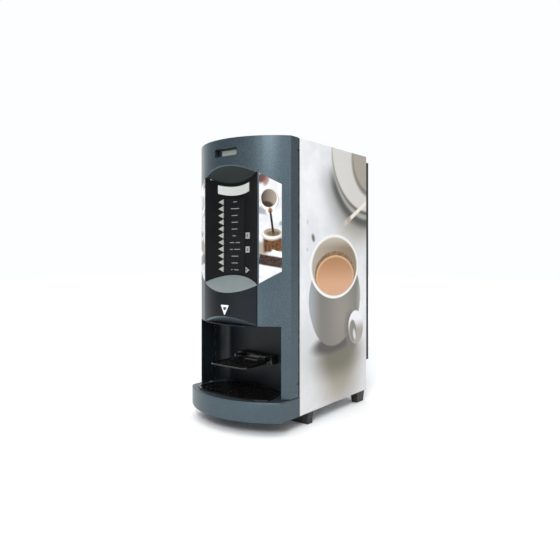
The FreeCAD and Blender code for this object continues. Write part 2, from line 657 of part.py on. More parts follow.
def top_cover():
    """Lift-up lid over the canisters, with a stiffening skirt and a finger scoop at the front."""
    half = HALF - SHEET - 0.6
    plate = block(-half, half, 0.2, LID_PIVOT_Y - 5, HEIGHT - 4, HEIGHT)
    plate = plate.cut(block(-half + 3, half - 3, 5, LID_PIVOT_Y - 8, HEIGHT - 5, HEIGHT - 2))
    skirt = block(-half + 8, half - 8, 6, LID_PIVOT_Y - 12, HEIGHT - 13, HEIGHT - 1)
    skirt = skirt.cut(block(-half + 9.5, half - 9.5, 7.5, LID_PIVOT_Y - 13.5, HEIGHT - 20, HEIGHT))
    body = plate.fuse(skirt)
    for x in LID_HINGE_X:
        body = body.fuse(rod(4.0, (x - 8, LID_PIVOT_Y, LID_PIVOT_Z), (1, 0, 0), 16))
        body = body.fuse(block(x - 8, x + 8, LID_PIVOT_Y - 8, LID_PIVOT_Y, LID_PIVOT_Z, LID_PIVOT_Z + 4))
        body = body.cut(rod(1.55, (x - 20, LID_PIVOT_Y, LID_PIVOT_Z), (1, 0, 0), 40))
    return body.removeSplitter()


def hinge_brackets():
    """Door hinge arms with their upright pins, and the lid's hinge ears with theirs."""
    made = []
    for z in HINGE_Z:
        arm = block(DOOR_PIVOT_X - 4, DOOR_PIVOT_X + 4, DOOR_PIVOT_Y, 22, z, z + HINGE_ARM)
        arm = arm.fuse(rod(4.0, (DOOR_PIVOT_X, DOOR_PIVOT_Y, z), (0, 0, 1), HINGE_ARM))
        leaf = block(DOOR_PIVOT_X - 4, DOOR_PIVOT_X - 2.5, 3, 22, z - 14, z + HINGE_ARM + 14)
        pin = rod(2.0, (DOOR_PIVOT_X, DOOR_PIVOT_Y, z - 6), (0, 0, 1), 12 + HINGE_ARM)
        made.append(arm.fuse(leaf).fuse(pin).removeSplitter())
    wall_y = CABINET_DEPTH - 2 * SHEET - 0.4
    for x in LID_HINGE_X:
        ears = [block(x + side * 11 - 2.5, x + side * 11 + 2.5, LID_PIVOT_Y - 3.5, wall_y - 2,
                      LID_PIVOT_Z - 8, LID_PIVOT_Z + 3.5) for side in (-1, 1)]
        strap = block(x - 13.5, x + 13.5, wall_y - 2, wall_y, 715, LID_PIVOT_Z - 7.5)
        feet_up = block(x - 13.5, x + 13.5, LID_PIVOT_Y - 3.5, wall_y, LID_PIVOT_Z - 9.5,
                        LID_PIVOT_Z - 7.5)
        pin = rod(1.5, (x - 13, LID_PIVOT_Y, LID_PIVOT_Z), (1, 0, 0), 26)
        made.append(strap.fuse(feet_up).multiFuse(ears + [pin]).removeSplitter())
    return made


# ---- door ---------------------------------------------------------------------------------
def door_block(inset, z0, z1, back=DOOR_BACK):
    return bowed(HALF - inset, back, DOOR_CENTRE_Y, DOOR_RADIUS - inset, z0, z1)


WINDOW_HALF = 42.0
WINDOW_LOW, WINDOW_HIGH = 702.0, 728.0
GRAPHIC_DEPTH = 0.8


def graphic_panel(side, grow, depth):
    """Bent printed panel set into the door face beside the control panel."""
    inner_x, outer_x = 96.6 - grow, 143.5 + grow
    outline = [(inner_x, 377 - grow), (outer_x, 407.6 - grow),
               (outer_x, 627 + grow), (inner_x, 656 + grow)]
    corners = [V(side * x, -130, z) for x, z in outline]
    slab = Part.Face(Part.makePolygon(corners + corners[:1])).extrude(V(0, 130, 0))
    rim = Part.makeCylinder(DOOR_RADIUS, 400, V(0, DOOR_CENTRE_Y, 340))
    core = Part.makeCylinder(DOOR_RADIUS - depth, 400, V(0, DOOR_CENTRE_Y, 340))
    return rim.cut(core).common(slab)


def door_shell():
    """Bowed outer skin of the door with its top, hinge knuckles and lock boss."""
    skin = door_block(0, DOOR_BOTTOM, HEIGHT)
    skin = skin.cut(door_block(WALL, DOOR_BOTTOM - 1, HEIGHT - WALL, DOOR_BACK + 1))
    station = block(-STATION_HALF, STATION_HALF, -200, 0, DOOR_BOTTOM - 1, STATION_TOP)
    column = block(-COLUMN_HALF, COLUMN_HALF, -200, 0, STATION_TOP - 1, SOFFIT_Z + 1)
    skin = skin.cut(station).cut(column.common(below(SOFFIT_Z, SOFFIT_SLOPE)))
    window = block(-WINDOW_HALF - 0.2, WINDOW_HALF + 0.2, -200, -80, WINDOW_LOW - 0.2, WINDOW_HIGH + 0.2)
    skin = skin.cut(window)
    for side in (-1, 1):
        skin = skin.cut(graphic_panel(side, 0.3, GRAPHIC_DEPTH + 0.2))
        web = block(min(side * 144.9, side * 158), max(side * 144.9, side * 158), -30, -27,
                    DOOR_BOTTOM, HEIGHT - 1)
        skin = skin.fuse(web)
    for z in HINGE_Z:
        for low in (z - 7.0, z + HINGE_ARM + 0.5):
            knuckle = block(DOOR_PIVOT_X - 5, HALF - 1, DOOR_PIVOT_Y - 19.5, DOOR_PIVOT_Y, low, low + 6.5)
            knuckle = knuckle.fuse(rod(5.0, (DOOR_PIVOT_X, DOOR_PIVOT_Y, low), (0, 0, 1), 6.5))
            skin = skin.fuse(knuckle.common(block(0, HALF, -60, DOOR_BACK, 0, HEIGHT)))
        skin = skin.cut(rod(2.06, (DOOR_PIVOT_X, DOOR_PIVOT_Y, z - 8), (0, 0, 1), 20))
        clearance = block(DOOR_PIVOT_X - 5, HALF + 1, DOOR_PIVOT_Y - 6, DOOR_BACK + 1, z - 0.5, z + HINGE_ARM + 0.5)
        skin = skin.cut(clearance)
    boss = rod(11, (-HALF + 1, LOCK_Y, LOCK_Z), (1, 0, 0), 8.5)
    boss = boss.fuse(block(-HALF + 1, -HALF + 5, LOCK_Y - 14, DOOR_BACK, LOCK_Z - 14, LOCK_Z + 14))
    skin = skin.cut(block(-158, -144, -31, -26, LOCK_Z - 40, LOCK_Z + 40))
    skin = skin.fuse(boss).cut(rod(8.1, (-HALF - 5, LOCK_Y, LOCK_Z), (1, 0, 0), 40))
    return skin.removeSplitter()


def column_panel():
    """Lower front of the centre column: bowed face, sloping underside and open back."""
    half = COLUMN_HALF - 1.5
    top = below(LEDGE_Z - 3.4, LEDGE_SLOPE)
    outer = door_block(0, COLUMN_BOTTOM, 420, -72).common(block(-half, half, -200, -72, 200, 420))
    outer = outer.common(top).common(above(UNDERCUT_Z, UNDERCUT_SLOPE))
    inner = door_block(WALL, COLUMN_BOTTOM + WALL, 420, -60)
    inner = inner.common(block(-half + WALL, half - WALL, -200, -60, 200, 420))
    inner = inner.common(below(LEDGE_Z - 8, LEDGE_SLOPE))
    inner = inner.common(above(UNDERCUT_Z + 4, UNDERCUT_SLOPE))
    body = outer.cut(inner)
    return body.cut(block(-60, 60, -86, -60, 260, 345))


def lower_lens():
    """Frosted light bar on the sloping ledge under the keys."""
    slab = below(LEDGE_Z, LEDGE_SLOPE).common(above(LEDGE_Z - 3.0, LEDGE_SLOPE))
    face = door_block(0.3, 340, 420, -60).common(block(-91.4, 91.4, -200, -60, 330, 420))
    scoop = Part.makeCylinder(SCOOP_RADIUS - 0.3, 200, V(0, SCOOP_CENTRE_Y, 300))
    return slab.common(face).common(scoop)


def upper_lens():
    """Smoked light bar on the sloping soffit over the keys."""
    slab = above(SOFFIT_Z + 0.3, SOFFIT_SLOPE).common(below(SOFFIT_Z + 3.3, SOFFIT_SLOPE))
    face = door_block(WALL + 0.3, 620, 700, -60).common(block(-91.8, 91.8, -200, -60, 600, 700))
    scoop = Part.makeCylinder(SCOOP_RADIUS - 0.3, 200, V(0, SCOOP_CENTRE_Y, 550))
    return slab.common(face).common(scoop)


def keys():
    """Name, x, z and outline of each key, seen from the front and centred on the key."""
    made = []
    left_arrow = [(-KEY_LENGTH / 2, 0), (KEY_LENGTH / 2, -KEY_HEIGHT / 2), (KEY_LENGTH / 2, KEY_HEIGHT / 2)]
    for row in range(KEY_COUNT):
        name = "selection_key_%02d" % (row + 1)
        made.append((name, KEY_X, KEY_TOP_Z - row * KEY_PITCH, left_arrow))
    square = [(-8, -8), (8, -8), (8, 8), (-8, 8)]
    for number, row in enumerate(OPTION_ROWS):
        z = KEY_TOP_Z - row * KEY_PITCH - 1.5
        made.append(("option_key_%d" % (number + 1), OPTION_X, z, square))
    right_arrow = [(-x, z) for x, z in reversed(left_arrow)]
    made.append(("cancel_key", OPTION_X, KEY_TOP_Z - CANCEL_ROW * KEY_PITCH - 1.0, right_arrow))
    return made


def on_scoop(x, z, outline, grow, front, back):
    """Prism through the scoop's wall at x, square to it: front and back are depths behind it."""
    reach = max(max(abs(px), abs(pz)) for px, pz in outline)
    scale = (reach + grow) / reach
    corners = [V(px * scale, front, pz * scale) for px, pz in outline]
    solid = Part.Face(Part.makePolygon(corners + corners[:1])).extrude(V(0, back - front, 0))
    turn = math.degrees(math.asin(x / SCOOP_RADIUS))
    solid.rotate(V(0, 0, 0), V(0, 0, 1), -turn)
    y = SCOOP_CENTRE_Y + math.sqrt(SCOOP_RADIUS ** 2 - x ** 2)
    solid.translate(V(x, y, z))
    return solid


def key_solid(x, z, outline):
    """Key cap that stands proud of the panel, with a retaining flange behind it."""
    cap = on_scoop(x, z, outline, 0, -KEY_PROUD, 8.0)
    flange = on_scoop(x, z, outline, KEY_FLANGE, WALL + 0.3, WALL + 1.5)
    return cap.fuse(flange).removeSplitter()


def control_panel():
    """Hollowed black panel that holds the keys."""
    wall = scoop_ring(SCOOP_RADIUS, SCOOP_RADIUS + WALL, 91.8, 340, 700)
    wall = wall.common(above(LEDGE_Z - 2.0, LEDGE_SLOPE)).common(below(SOFFIT_Z - 0.3, SOFFIT_SLOPE))
    wall = wall.common(block(-100, 100, -110, 0, 300, 700))
    holes = [on_scoop(x, z, outline, 0.8, -6, 12) for _, x, z, outline in keys()]
    return wall.cut(Part.makeCompound(holes))


def badge_plate():
    """Blank name plate at the head of the control panel."""
    plate = scoop_ring(SCOOP_RADIUS - 1.3, SCOOP_RADIUS - 0.3, 55.5, 590, 650)
    top_at_front = 628.0 + SOFFIT_SLOPE * (DOOR_FRONT - SCOOP_BACK)
    low_at_front = 605.5 + SOFFIT_SLOPE * (DOOR_FRONT - SCOOP_BACK)
    return plate.common(below(top_at_front, SOFFIT_SLOPE)).common(above(low_at_front, SOFFIT_SLOPE))


def display_bezel():
    """Short tunnel round the display, flush with the bowed door."""
    outer = block(-WINDOW_HALF, WINDOW_HALF, -200, -88, WINDOW_LOW, WINDOW_HIGH)
    outer = outer.common(door_block(0, WINDOW_LOW - 1, WINDOW_HIGH + 1, -80))
    return outer.cut(block(-WINDOW_HALF + 2.5, WINDOW_HALF - 2.5, -200, -80,
                           WINDOW_LOW + 2.5, WINDOW_HIGH - 2.5))


def lcd_module():
    """Character display on its own small board behind the bezel."""
    glass = block(-36, 36, -95, -88.5, WINDOW_LOW + 3, WINDOW_HIGH - 3)
    board = block(-44, 44, -87.6, -86, WINDOW_LOW - 2, WINDOW_HIGH + 2)
    return glass.fuse(block(-34, 34, -89, -87, WINDOW_LOW + 4, WINDOW_HIGH - 4)).fuse(board)


def cup_station_surround():
    """Dark lining of the door's cup opening: two jambs and the ceiling round the nozzles."""
    wall = 2.0
    half = STATION_HALF - 0.3
    outer = door_block(WALL + 0.4, DOOR_BOTTOM, STATION_TOP - 0.3, DOOR_BACK)
    outer = outer.common(block(-half, half, -200, 0, 0, 400))
    inner = block(-half + wall, half - wall, -200, 0, 0, STATION_TOP - 0.3 - wall)
    body = outer.cut(inner)
    return body.cut(block(-48, 48, -80, 0, 200, 400))


def door_inner_cover():
    """Flat inner door panel, open behind the nozzle head and its hoses."""
    sheet = block(-146, 146, DOOR_BACK + 0.3, DOOR_BACK + 2.3, STATION_TOP + 4, HEIGHT - 5)
    return sheet.cut(block(-104, 110, -20, 0, 200, 400))


def keypad_board():
    """Circuit board behind the keys, on two rails of the inner cover."""
    board = block(-66, 66, -58, -56.4, 392, 606)
    rails = [block(x - 3, x + 3, -57, DOOR_BACK, 410, 600) for x in (-60, 60)]
    switches = [block(x - 3, x + 3, -64, -57.5, z - 3, z + 3) for _, x, z, _ in keys()]
    return board.multiFuse(rails + switches).removeSplitter()


def door_gasket():
    """Rubber seal round the service opening, on the inner cover."""
    back = -0.6
    front = DOOR_BACK + 2.6
    ring = block(-146, 146, front, back, 404, HEIGHT - 6)
    return ring.cut(block(-140, 140, front - 1, back + 1, 410, HEIGHT - 12))


def door_lock():
    """Lock plug with a key slot outside and a cam plate inside the door."""
    plug = rod(8.0, (-HALF, LOCK_Y, LOCK_Z), (1, 0, 0), 11.0)
    slot = block(-HALF - 1, -HALF + 3, LOCK_Y - 0.8, LOCK_Y + 0.8, LOCK_Z - 4, LOCK_Z + 4)
    cam = block(-HALF + 10.5, -HALF + 12.5, LOCK_Y - 6, LOCK_Y + 6, LOCK_Z - 32, LOCK_Z + 6)
    return plug.fuse(cam).cut(slot).removeSplitter()


# ---- write every node ---------------------------------------------------------------------
put("chassis_base", chassis_base())
put("left_side_panel", side_panel(-1))
put("right_side_panel", side_panel(1))
put("rear_panel", rear_panel())
put("rear_cover", rear_cover())
put("panel_screws", *panel_screws())
put("front_frame", front_frame())
put("drip_base", drip_base())
put("drip_tray", drip_tray())
put("drip_grid", drip_grid())
put("cup_station_liner", cup_station_liner())
put("shelf_bracket", *shelf_bracket())
put("cup_shelf", cup_shelf())
put("feet", *feet())
put("equipment_deck", equipment_deck())
put("canisters", *[canister(x) for x in CANISTER_X])
for auger_name, auger_x in zip(("left", "middle", "right"), CANISTER_X):
    put("auger_" + auger_name, auger(auger_x))
put("canister_lid", canister_lid())
put("gear_motors", *gear_motors())
put("mixing_bowls", *[mixing_bowl(x) for x in BOWL_X])
for whipper_name, whipper_x in zip(("left", "right"), BOWL_X):
    put("whipper_" + whipper_name, whipper(whipper_x))
put("nozzle_head", nozzle_head())
put("mixer_hoses", *mixer_hoses())
put("boiler", boiler())
put("water_pump", water_pump())
put("control_board", control_board())
put("rear_inlets", *rear_inlets())
put("top_cover", top_cover())
put("hinge_brackets", *hinge_brackets())
put("door_shell", door_shell())
put("column_panel", column_panel())
put("lower_lens", lower_lens())
put("upper_lens", upper_lens())
put("control_panel", control_panel())
for key_name, key_x, key_z, key_outline in keys():
    put(key_name, key_solid(key_x, key_z, key_outline))
put("badge_plate", badge_plate())
put("display_bezel", display_bezel())
put("lcd_module", lcd_module())
put("graphic_panels", *[graphic_panel(side, 0, GRAPHIC_DEPTH) for side in (-1, 1)])
put("cup_station_surround", cup_station_surround())
put("door_inner_cover", door_inner_cover())
put("keypad_board", keypad_board())
put("door_gasket", door_gasket())
put("door_lock", door_lock())
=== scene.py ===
import bpy
import bmesh
import json
import math
from mathutils import Matrix, Vector


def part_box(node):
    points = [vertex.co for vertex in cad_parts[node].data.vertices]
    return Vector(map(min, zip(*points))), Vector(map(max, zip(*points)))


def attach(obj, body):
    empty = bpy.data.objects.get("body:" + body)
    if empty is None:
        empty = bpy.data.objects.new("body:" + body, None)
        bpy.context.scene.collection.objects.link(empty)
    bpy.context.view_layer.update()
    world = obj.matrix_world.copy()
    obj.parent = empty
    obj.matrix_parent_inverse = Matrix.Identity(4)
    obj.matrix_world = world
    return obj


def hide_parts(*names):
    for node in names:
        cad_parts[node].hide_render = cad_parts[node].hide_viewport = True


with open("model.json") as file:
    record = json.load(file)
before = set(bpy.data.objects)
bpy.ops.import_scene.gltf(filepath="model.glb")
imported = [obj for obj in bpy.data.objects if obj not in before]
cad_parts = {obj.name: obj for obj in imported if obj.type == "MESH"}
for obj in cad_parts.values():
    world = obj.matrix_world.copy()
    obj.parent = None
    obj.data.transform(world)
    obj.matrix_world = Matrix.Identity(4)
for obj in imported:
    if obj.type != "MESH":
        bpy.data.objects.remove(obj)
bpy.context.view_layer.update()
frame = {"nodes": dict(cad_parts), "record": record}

# --- camera -----------------------------------------------------------------------------------
# A level view from the right of the door at about the height of the keys, a metre and a half
# away. The lens leaves wide margins round the machine and the small shift keeps uprights upright.
camera_data = bpy.data.cameras.new("camera")
camera_data.sensor_width = 36.0
camera_data.lens = 34.72
camera_data.shift_y = -0.0496
camera = bpy.data.objects.new("camera", camera_data)
camera.location = (0.97062, -1.24492, 0.45597)
camera.rotation_euler = (math.radians(90), 0, 0.66)
bpy.context.scene.collection.objects.link(camera)
bpy.context.scene.camera = camera


# --- studio floor and light -------------------------------------------------------------------
# A matt white painted floor, lit more and more towards the walls so that it meets the pale room
# without a line. The room is brighter behind the machine than in front of it. Soft boxes light
# the door from the front and each side, and one hangs overhead.
def linear(hex_colour):
    """An sRGB hex colour as linear red, green, blue and alpha."""
    channels = [int(hex_colour[at:at + 2], 16) / 255 for at in (1, 3, 5)]
    return [c / 12.92 if c <= 0.04045 else ((c + 0.055) / 1.055) ** 2.4 for c in channels] + [1.0]


def add(tree, kind, inputs=None, **settings):
    """Adds one node with its settings; each input is a value or the socket that it is linked to."""
    made = tree.nodes.new("ShaderNode" + kind)
    for name, value in settings.items():
        setattr(made, name, value)
    for name, value in (inputs or {}).items():
        socket = made.inputs[name]
        if isinstance(value, bpy.types.NodeSocket):
            tree.links.new(value, socket)
        else:
            socket.default_value = value
    return made


def finish(name, sockets):
    """A new material with one Principled shader; gives the material, its tree and its place."""
    material = bpy.data.materials.new(name)
    material.use_nodes = True
    tree = material.node_tree
    tree.nodes.clear()
    shader = add(tree, "BsdfPrincipled", sockets)
    add(tree, "OutputMaterial", {"Surface": shader.outputs[0]})
    place = add(tree, "TexCoord").outputs["Object"]
    return material, tree, shader, place


def link(piece):
    bpy.context.scene.collection.objects.link(piece)
    return piece


FLOOR_HALF = 8.0
floor_shape = bmesh.new()
bmesh.ops.create_grid(floor_shape, x_segments=1, y_segments=1, size=FLOOR_HALF)
floor_mesh = bpy.data.meshes.new("floor")
floor_shape.to_mesh(floor_mesh)
floor_shape.free()
floor = link(bpy.data.objects.new("floor", floor_mesh))
floor_paint, tree, shader, place = finish("matt_white_floor_paint", {
    "Roughness": 0.9, "Emission Color": linear("#ffffff")})
grain = add(tree, "TexNoise", {"Vector": place, "Scale": 30.0, "Detail": 3.0})
shade = add(tree, "MapRange", {"Value": grain.outputs["Fac"], "To Min": 0.95, "To Max": 0.98})
grey = add(tree, "CombineColor", {"Red": shade.outputs[0], "Green": shade.outputs[0],
                                  "Blue": shade.outputs[0]})
tree.links.new(grey.outputs[0], shader.inputs["Base Color"])
# The floor itself glows more and more away from the machine: painted light, so that it meets the bright room
# without a line.
away = add(tree, "VectorMath", {0: place}, operation="LENGTH").outputs["Value"]
lit = add(tree, "MapRange", {"Value": away, "From Min": 0.7, "From Max": 3.0, "To Min": 0.0, "To Max": 0.32},
          interpolation_type="SMOOTHSTEP")
tree.links.new(lit.outputs[0], shader.inputs["Emission Strength"])
floor_mesh.materials.append(floor_paint)

world = bpy.data.worlds.new("studio")
world.use_nodes = True
room = world.node_tree
sight = add(room, "TexCoord").outputs["Generated"]
BRIGHT_WALL = (-0.55, 0.75, 0.35)
behind = add(room, "VectorMath", {0: sight, 1: BRIGHT_WALL}, operation="DOT_PRODUCT").outputs["Value"]
height = add(room, "SeparateXYZ", {0: sight}).outputs[2]
overhead = add(room, "MapRange", {"Value": height, "From Min": 0.3, "From Max": 0.75,
                                  "To Min": 0.0, "To Max": 0.8}).outputs[0]
most = add(room, "Math", {0: behind, 1: overhead}, operation="MAXIMUM").outputs[0]
glow = add(room, "MapRange", {"Value": most, "From Min": 0.1, "From Max": 0.8,
                              "To Min": 0.16, "To Max": 1.02}, interpolation_type="SMOOTHSTEP")
room.links.new(glow.outputs[0], room.nodes["Background"].inputs["Strength"])
room.nodes["Background"].inputs["Color"].default_value = linear("#fbfcff")
bpy.context.scene.world = world
bpy.context.scene.view_settings.view_transform = "Standard"


def soft_box(name, place, target, size, power):
    """A rectangular area light of so many watts, turned towards its target."""
    light = bpy.data.lights.new(name, "AREA")
    light.shape = "RECTANGLE"
    light.size, light.size_y = size
    light.energy = power
    box = link(bpy.data.objects.new(name, light))
    box.location = place
    box.rotation_euler = (Vector(target) - Vector(place)).to_track_quat("-Z", "Y").to_euler()


soft_box("key_box", (1.25, -2.2, 1.9), (0, -0.2, 0.75), (0.5, 1.0), 46)
soft_box("left_box", (-2.3, 0.6, 1.4), (0, -0.2, 0.6), (0.8, 1.4), 3)
soft_box("right_box", (2.4, -1.0, 1.1), (0.16, 0.05, 0.4), (1.4, 1.8), 10)
soft_box("top_box", (0.0, -0.4, 2.4), (0, 0, 0.5), (2.2, 1.6), 14)
soft_box("low_box", (-0.2, -2.0, 0.15), (0, -0.2, 0.3), (1.6, 0.25), 4)


# --- chassis, rear panel, front frame, deck and brackets --------------------------------------
# The cabinet's frame is cut and folded from 1.5 mm galvanised steel sheet and spot welded. Hot
# dip zinc leaves faint crystal spangles 8 to 12 mm across, each with its own grey.
body_of = {node: body for body, nodes in frame["record"]["behaviour"]["bodies"].items() for node in nodes}

galvanised, tree, shader, place = finish("hot_dip_galvanised_steel", {"Metallic": 0.9, "Roughness": 0.4})
spangle = add(tree, "TexVoronoi", {"Vector": place, "Scale": 100.0})
streak = add(tree, "TexNoise", {"Vector": place, "Scale": 25.0, "Detail": 4.0})
grey = add(tree, "SeparateColor", {"Color": spangle.outputs["Color"]}).outputs[0]
zinc = add(tree, "Mix", {"Factor": grey, "A": linear("#9da2a5"), "B": linear("#b9bdbf")}, data_type="RGBA")
stain = add(tree, "MapRange", {"Value": streak.outputs["Fac"], "To Min": 0.28, "To Max": 0.52})
tree.links.new(zinc.outputs["Result"], shader.inputs["Base Color"])
tree.links.new(stain.outputs[0], shader.inputs["Roughness"])
for node in ("chassis_base", "rear_panel", "front_frame", "equipment_deck"):
    frame["nodes"][node].material_slots[0].material = galvanised


# --- feet -------------------------------------------------------------------------------------
# Four moulded nylon feet are pushed and screwed into the chassis. The mould leaves a dull,
# slightly mottled charcoal skin and rounded rims.
def eased(node, width, segments=2, sharp=35):
    """A copy of a CAD node with its crisp edges rounded as a mould or a brake leaves them."""
    mesh = frame["nodes"][node].data.copy()
    shape = bmesh.new()
    shape.from_mesh(mesh)
    bmesh.ops.remove_doubles(shape, verts=shape.verts, dist=0.000002)
    bmesh.ops.dissolve_limit(shape, angle_limit=math.radians(0.6), verts=shape.verts, edges=shape.edges)
    crisp = [edge for edge in shape.edges
             if len(edge.link_faces) == 2 and edge.calc_face_angle(0) > math.radians(sharp)]
    bmesh.ops.bevel(shape, geom=crisp, offset=width, offset_type="OFFSET", affect="EDGES",
                    segments=segments, profile=0.5, material=-1, clamp_overlap=True)
    for face in shape.faces:
        face.smooth = True
    shape.to_mesh(mesh)
    shape.free()
    mesh.set_sharp_from_angle(angle=math.radians(38))
    mesh.materials.clear()
    piece = link(bpy.data.objects.new(node + "_eased", mesh))
    flat_faces = piece.modifiers.new("flat_faces", "WEIGHTED_NORMAL")
    flat_faces.keep_sharp = True
    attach(piece, body_of[node])
    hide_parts(node)
    return mesh


def moulded(name, dark, light, rough, grain_mm, relief, extra=None):
    """Moulded plastic: two close tones, a spark-eroded grain and slightly uneven gloss."""
    sockets = {"Roughness": rough, "IOR": 1.5}
    sockets.update(extra or {})
    material, tree, shader, place = finish(name, sockets)
    grain = add(tree, "TexNoise", {"Vector": place, "Scale": 1000.0 / grain_mm, "Detail": 2.0})
    flow = add(tree, "TexNoise", {"Vector": place, "Scale": 18.0, "Detail": 4.0})
    uneven = add(tree, "Math", {0: flow.outputs["Fac"], 1: grain.outputs["Fac"]}, operation="ADD")
    share = add(tree, "MapRange", {"Value": uneven.outputs[0], "From Min": 0.7, "From Max": 1.3})
    tone = add(tree, "Mix", {"Factor": share.outputs[0], "A": linear(dark), "B": linear(light)},
               data_type="RGBA")
    gloss = add(tree, "MapRange", {"Value": share.outputs[0], "To Min": rough * 0.85,
                                   "To Max": rough * 1.15})
    bump = add(tree, "Bump", {"Height": grain.outputs["Fac"], "Strength": 0.5, "Distance": relief})
    tree.links.new(tone.outputs["Result"], shader.inputs["Base Color"])
    tree.links.new(gloss.outputs[0], shader.inputs["Roughness"])
    tree.links.new(bump.outputs[0], shader.inputs["Normal"])
    return material


eased("feet", 0.0012).materials.append(moulded("moulded_nylon", "#1d1d1c", "#272726", 0.55, 1.6, 0.00012))


# --- left side panel --------------------------------------------------------------------------
# Steel sheet folded on a press brake and powder coated white. Baked powder has a fine orange
# peel, about 2 mm from crest to crest, and a soft gloss.
powder, tree, shader, place = finish("white_powder_coat", {"Base Color": linear("#dedfe1"), "Roughness": 0.32,
                                                           "Coat Weight": 0.2, "Coat Roughness": 0.2})
peel = add(tree, "TexNoise", {"Vector": place, "Scale": 480.0, "Detail": 1.0})
dust = add(tree, "TexNoise", {"Vector": place, "Scale": 6.0, "Detail": 5.0})
shade = add(tree, "MapRange", {"Value": dust.outputs["Fac"], "From Min": 0.35, "From Max": 0.65})
white = add(tree, "Mix", {"Factor": shade.outputs[0], "A": linear("#d9dadc"), "B": linear("#e2e3e5")},
            data_type="RGBA")
tree.links.new(white.outputs["Result"], shader.inputs["Base Color"])
bump = add(tree, "Bump", {"Height": peel.outputs["Fac"], "Strength": 0.35, "Distance": 0.0002})
tree.links.new(bump.outputs[0], shader.inputs["Normal"])
eased("left_side_panel", 0.0009).materials.append(powder)


# --- right side panel -------------------------------------------------------------------------
# The same folded sheet, covered by a printed vinyl film: a mug of milky coffee seen from above on
# a pale stone table, with a saucer behind it. The film ends at the panel's edges.
SMOOTH = {"interpolation_type": "SMOOTHSTEP"}


def measured(tree, place, axes, centre, half, turn):
    """Coordinates that are 0 at a printed shape's centre and 1 at its half size (mm, degrees)."""
    spot, size, angle = [0.0, 0.0, 0.0], [1000.0, 1000.0, 1000.0], [0.0, 0.0, 0.0]
    for axis, middle, reach in zip(axes, centre, half):
        spot[axis], size[axis] = middle / 1000, reach / 1000
    angle[3 - sum(axes)] = math.radians(turn)
    return add(tree, "Mapping", {"Vector": place, "Location": spot, "Rotation": angle, "Scale": size},
               vector_type="TEXTURE").outputs[0]


def oval(tree, place, axes, centre, half, turn, soft):
    """Mask of a filled ellipse in a flat print; axes are the print's two directions (0, 1, 2)."""
    local = measured(tree, place, axes, centre, half, turn)
    reach = add(tree, "VectorMath", {0: local}, operation="LENGTH").outputs["Value"]
    edge = soft / min(half)
    return add(tree, "MapRange", {"Value": reach, "From Min": 1 + edge, "From Max": 1 - edge},
               **SMOOTH).outputs[0]


def slab(tree, place, axes, centre, half, turn, soft):
    """Mask of a filled rectangle in a flat print, with the same settings as an oval."""
    local = measured(tree, place, axes, centre, half, turn)
    away = add(tree, "VectorMath", {0: local}, operation="ABSOLUTE")
    parts = add(tree, "SeparateXYZ", {0: away.outputs[0]}).outputs
    reach = add(tree, "Math", {0: parts[axes[0]], 1: parts[axes[1]]}, operation="MAXIMUM").outputs[0]
    edge = soft / min(half)
    return add(tree, "MapRange", {"Value": reach, "From Min": 1 + edge, "From Max": 1 - edge},
               **SMOOTH).outputs[0]


def ink(tree, under, mask, colour, amount=1.0):
    """Prints a colour over the one under it where the mask is 1; each is a hex value or a socket."""
    weight = add(tree, "Math", {0: mask, 1: amount}, operation="MULTIPLY").outputs[0]
    lower, upper = [linear(tone) if isinstance(tone, str) else tone for tone in (under, colour)]
    return add(tree, "Mix", {"Factor": weight, "A": lower, "B": upper}, data_type="RGBA").outputs["Result"]


def ovals(tree, place, axes, picture, rows):
    """Prints soft ellipses one over another; a row is centre, half size, turn, softness, ink, share."""
    for centre, half, turn, soft, colour, share in rows:
        picture = ink(tree, picture, oval(tree, place, axes, centre, half, turn, soft), colour, share)
    return picture


SIDE = (1, 2)
PRINT_OFFSET = (0, -0.007, 0.014)
film, tree, shader, place = finish("printed_vinyl_film", {
    "Roughness": 0.28, "IOR": 1.5, "Coat Weight": 0.3, "Coat Roughness": 0.12})
place = add(tree, "Mapping", {"Vector": place, "Location": PRINT_OFFSET}).outputs[0]
split = add(tree, "SeparateXYZ", {0: place}).outputs
stone = add(tree, "TexNoise", {"Vector": place, "Scale": 9.0, "Detail": 6.0, "Roughness": 0.6})
speck = add(tree, "TexNoise", {"Vector": place, "Scale": 330.0, "Detail": 3.0, "Roughness": 0.7})
mask = add(tree, "MapRange", {"Value": stone.outputs["Fac"], "From Min": 0.36, "From Max": 0.66},
           **SMOOTH).outputs[0]
picture = ink(tree, "#d2d4d7", mask, "#e2e3e4")
low_part = add(tree, "MapRange", {"Value": split[2], "From Min": 0.30, "From Max": 0.05}).outputs[0]
mask = add(tree, "MapRange", {"Value": speck.outputs["Fac"], "From Min": 0.52, "From Max": 0.62},
           **SMOOTH).outputs[0]
grit = add(tree, "Math", {0: low_part, 1: mask}, operation="MULTIPLY").outputs[0]
picture = ink(tree, picture, grit, "#b4b3ae", 0.45)
picture = ink(tree, picture, low_part, "#c2c2c1", 0.45)
picture = ovals(tree, place, SIDE, picture, (
    ((205, 590), (90, 70), 0, 60, "#d9d4bd", 0.5),
    ((90, 640), (100, 150), 0, 80, "#c6c8ca", 0.8),
    ((160, 545), (90, 60), 0, 50, "#b9b4a9", 0.75),
    ((-80, 205), (70, 80), 0, 60, "#bcbebe", 0.8)))
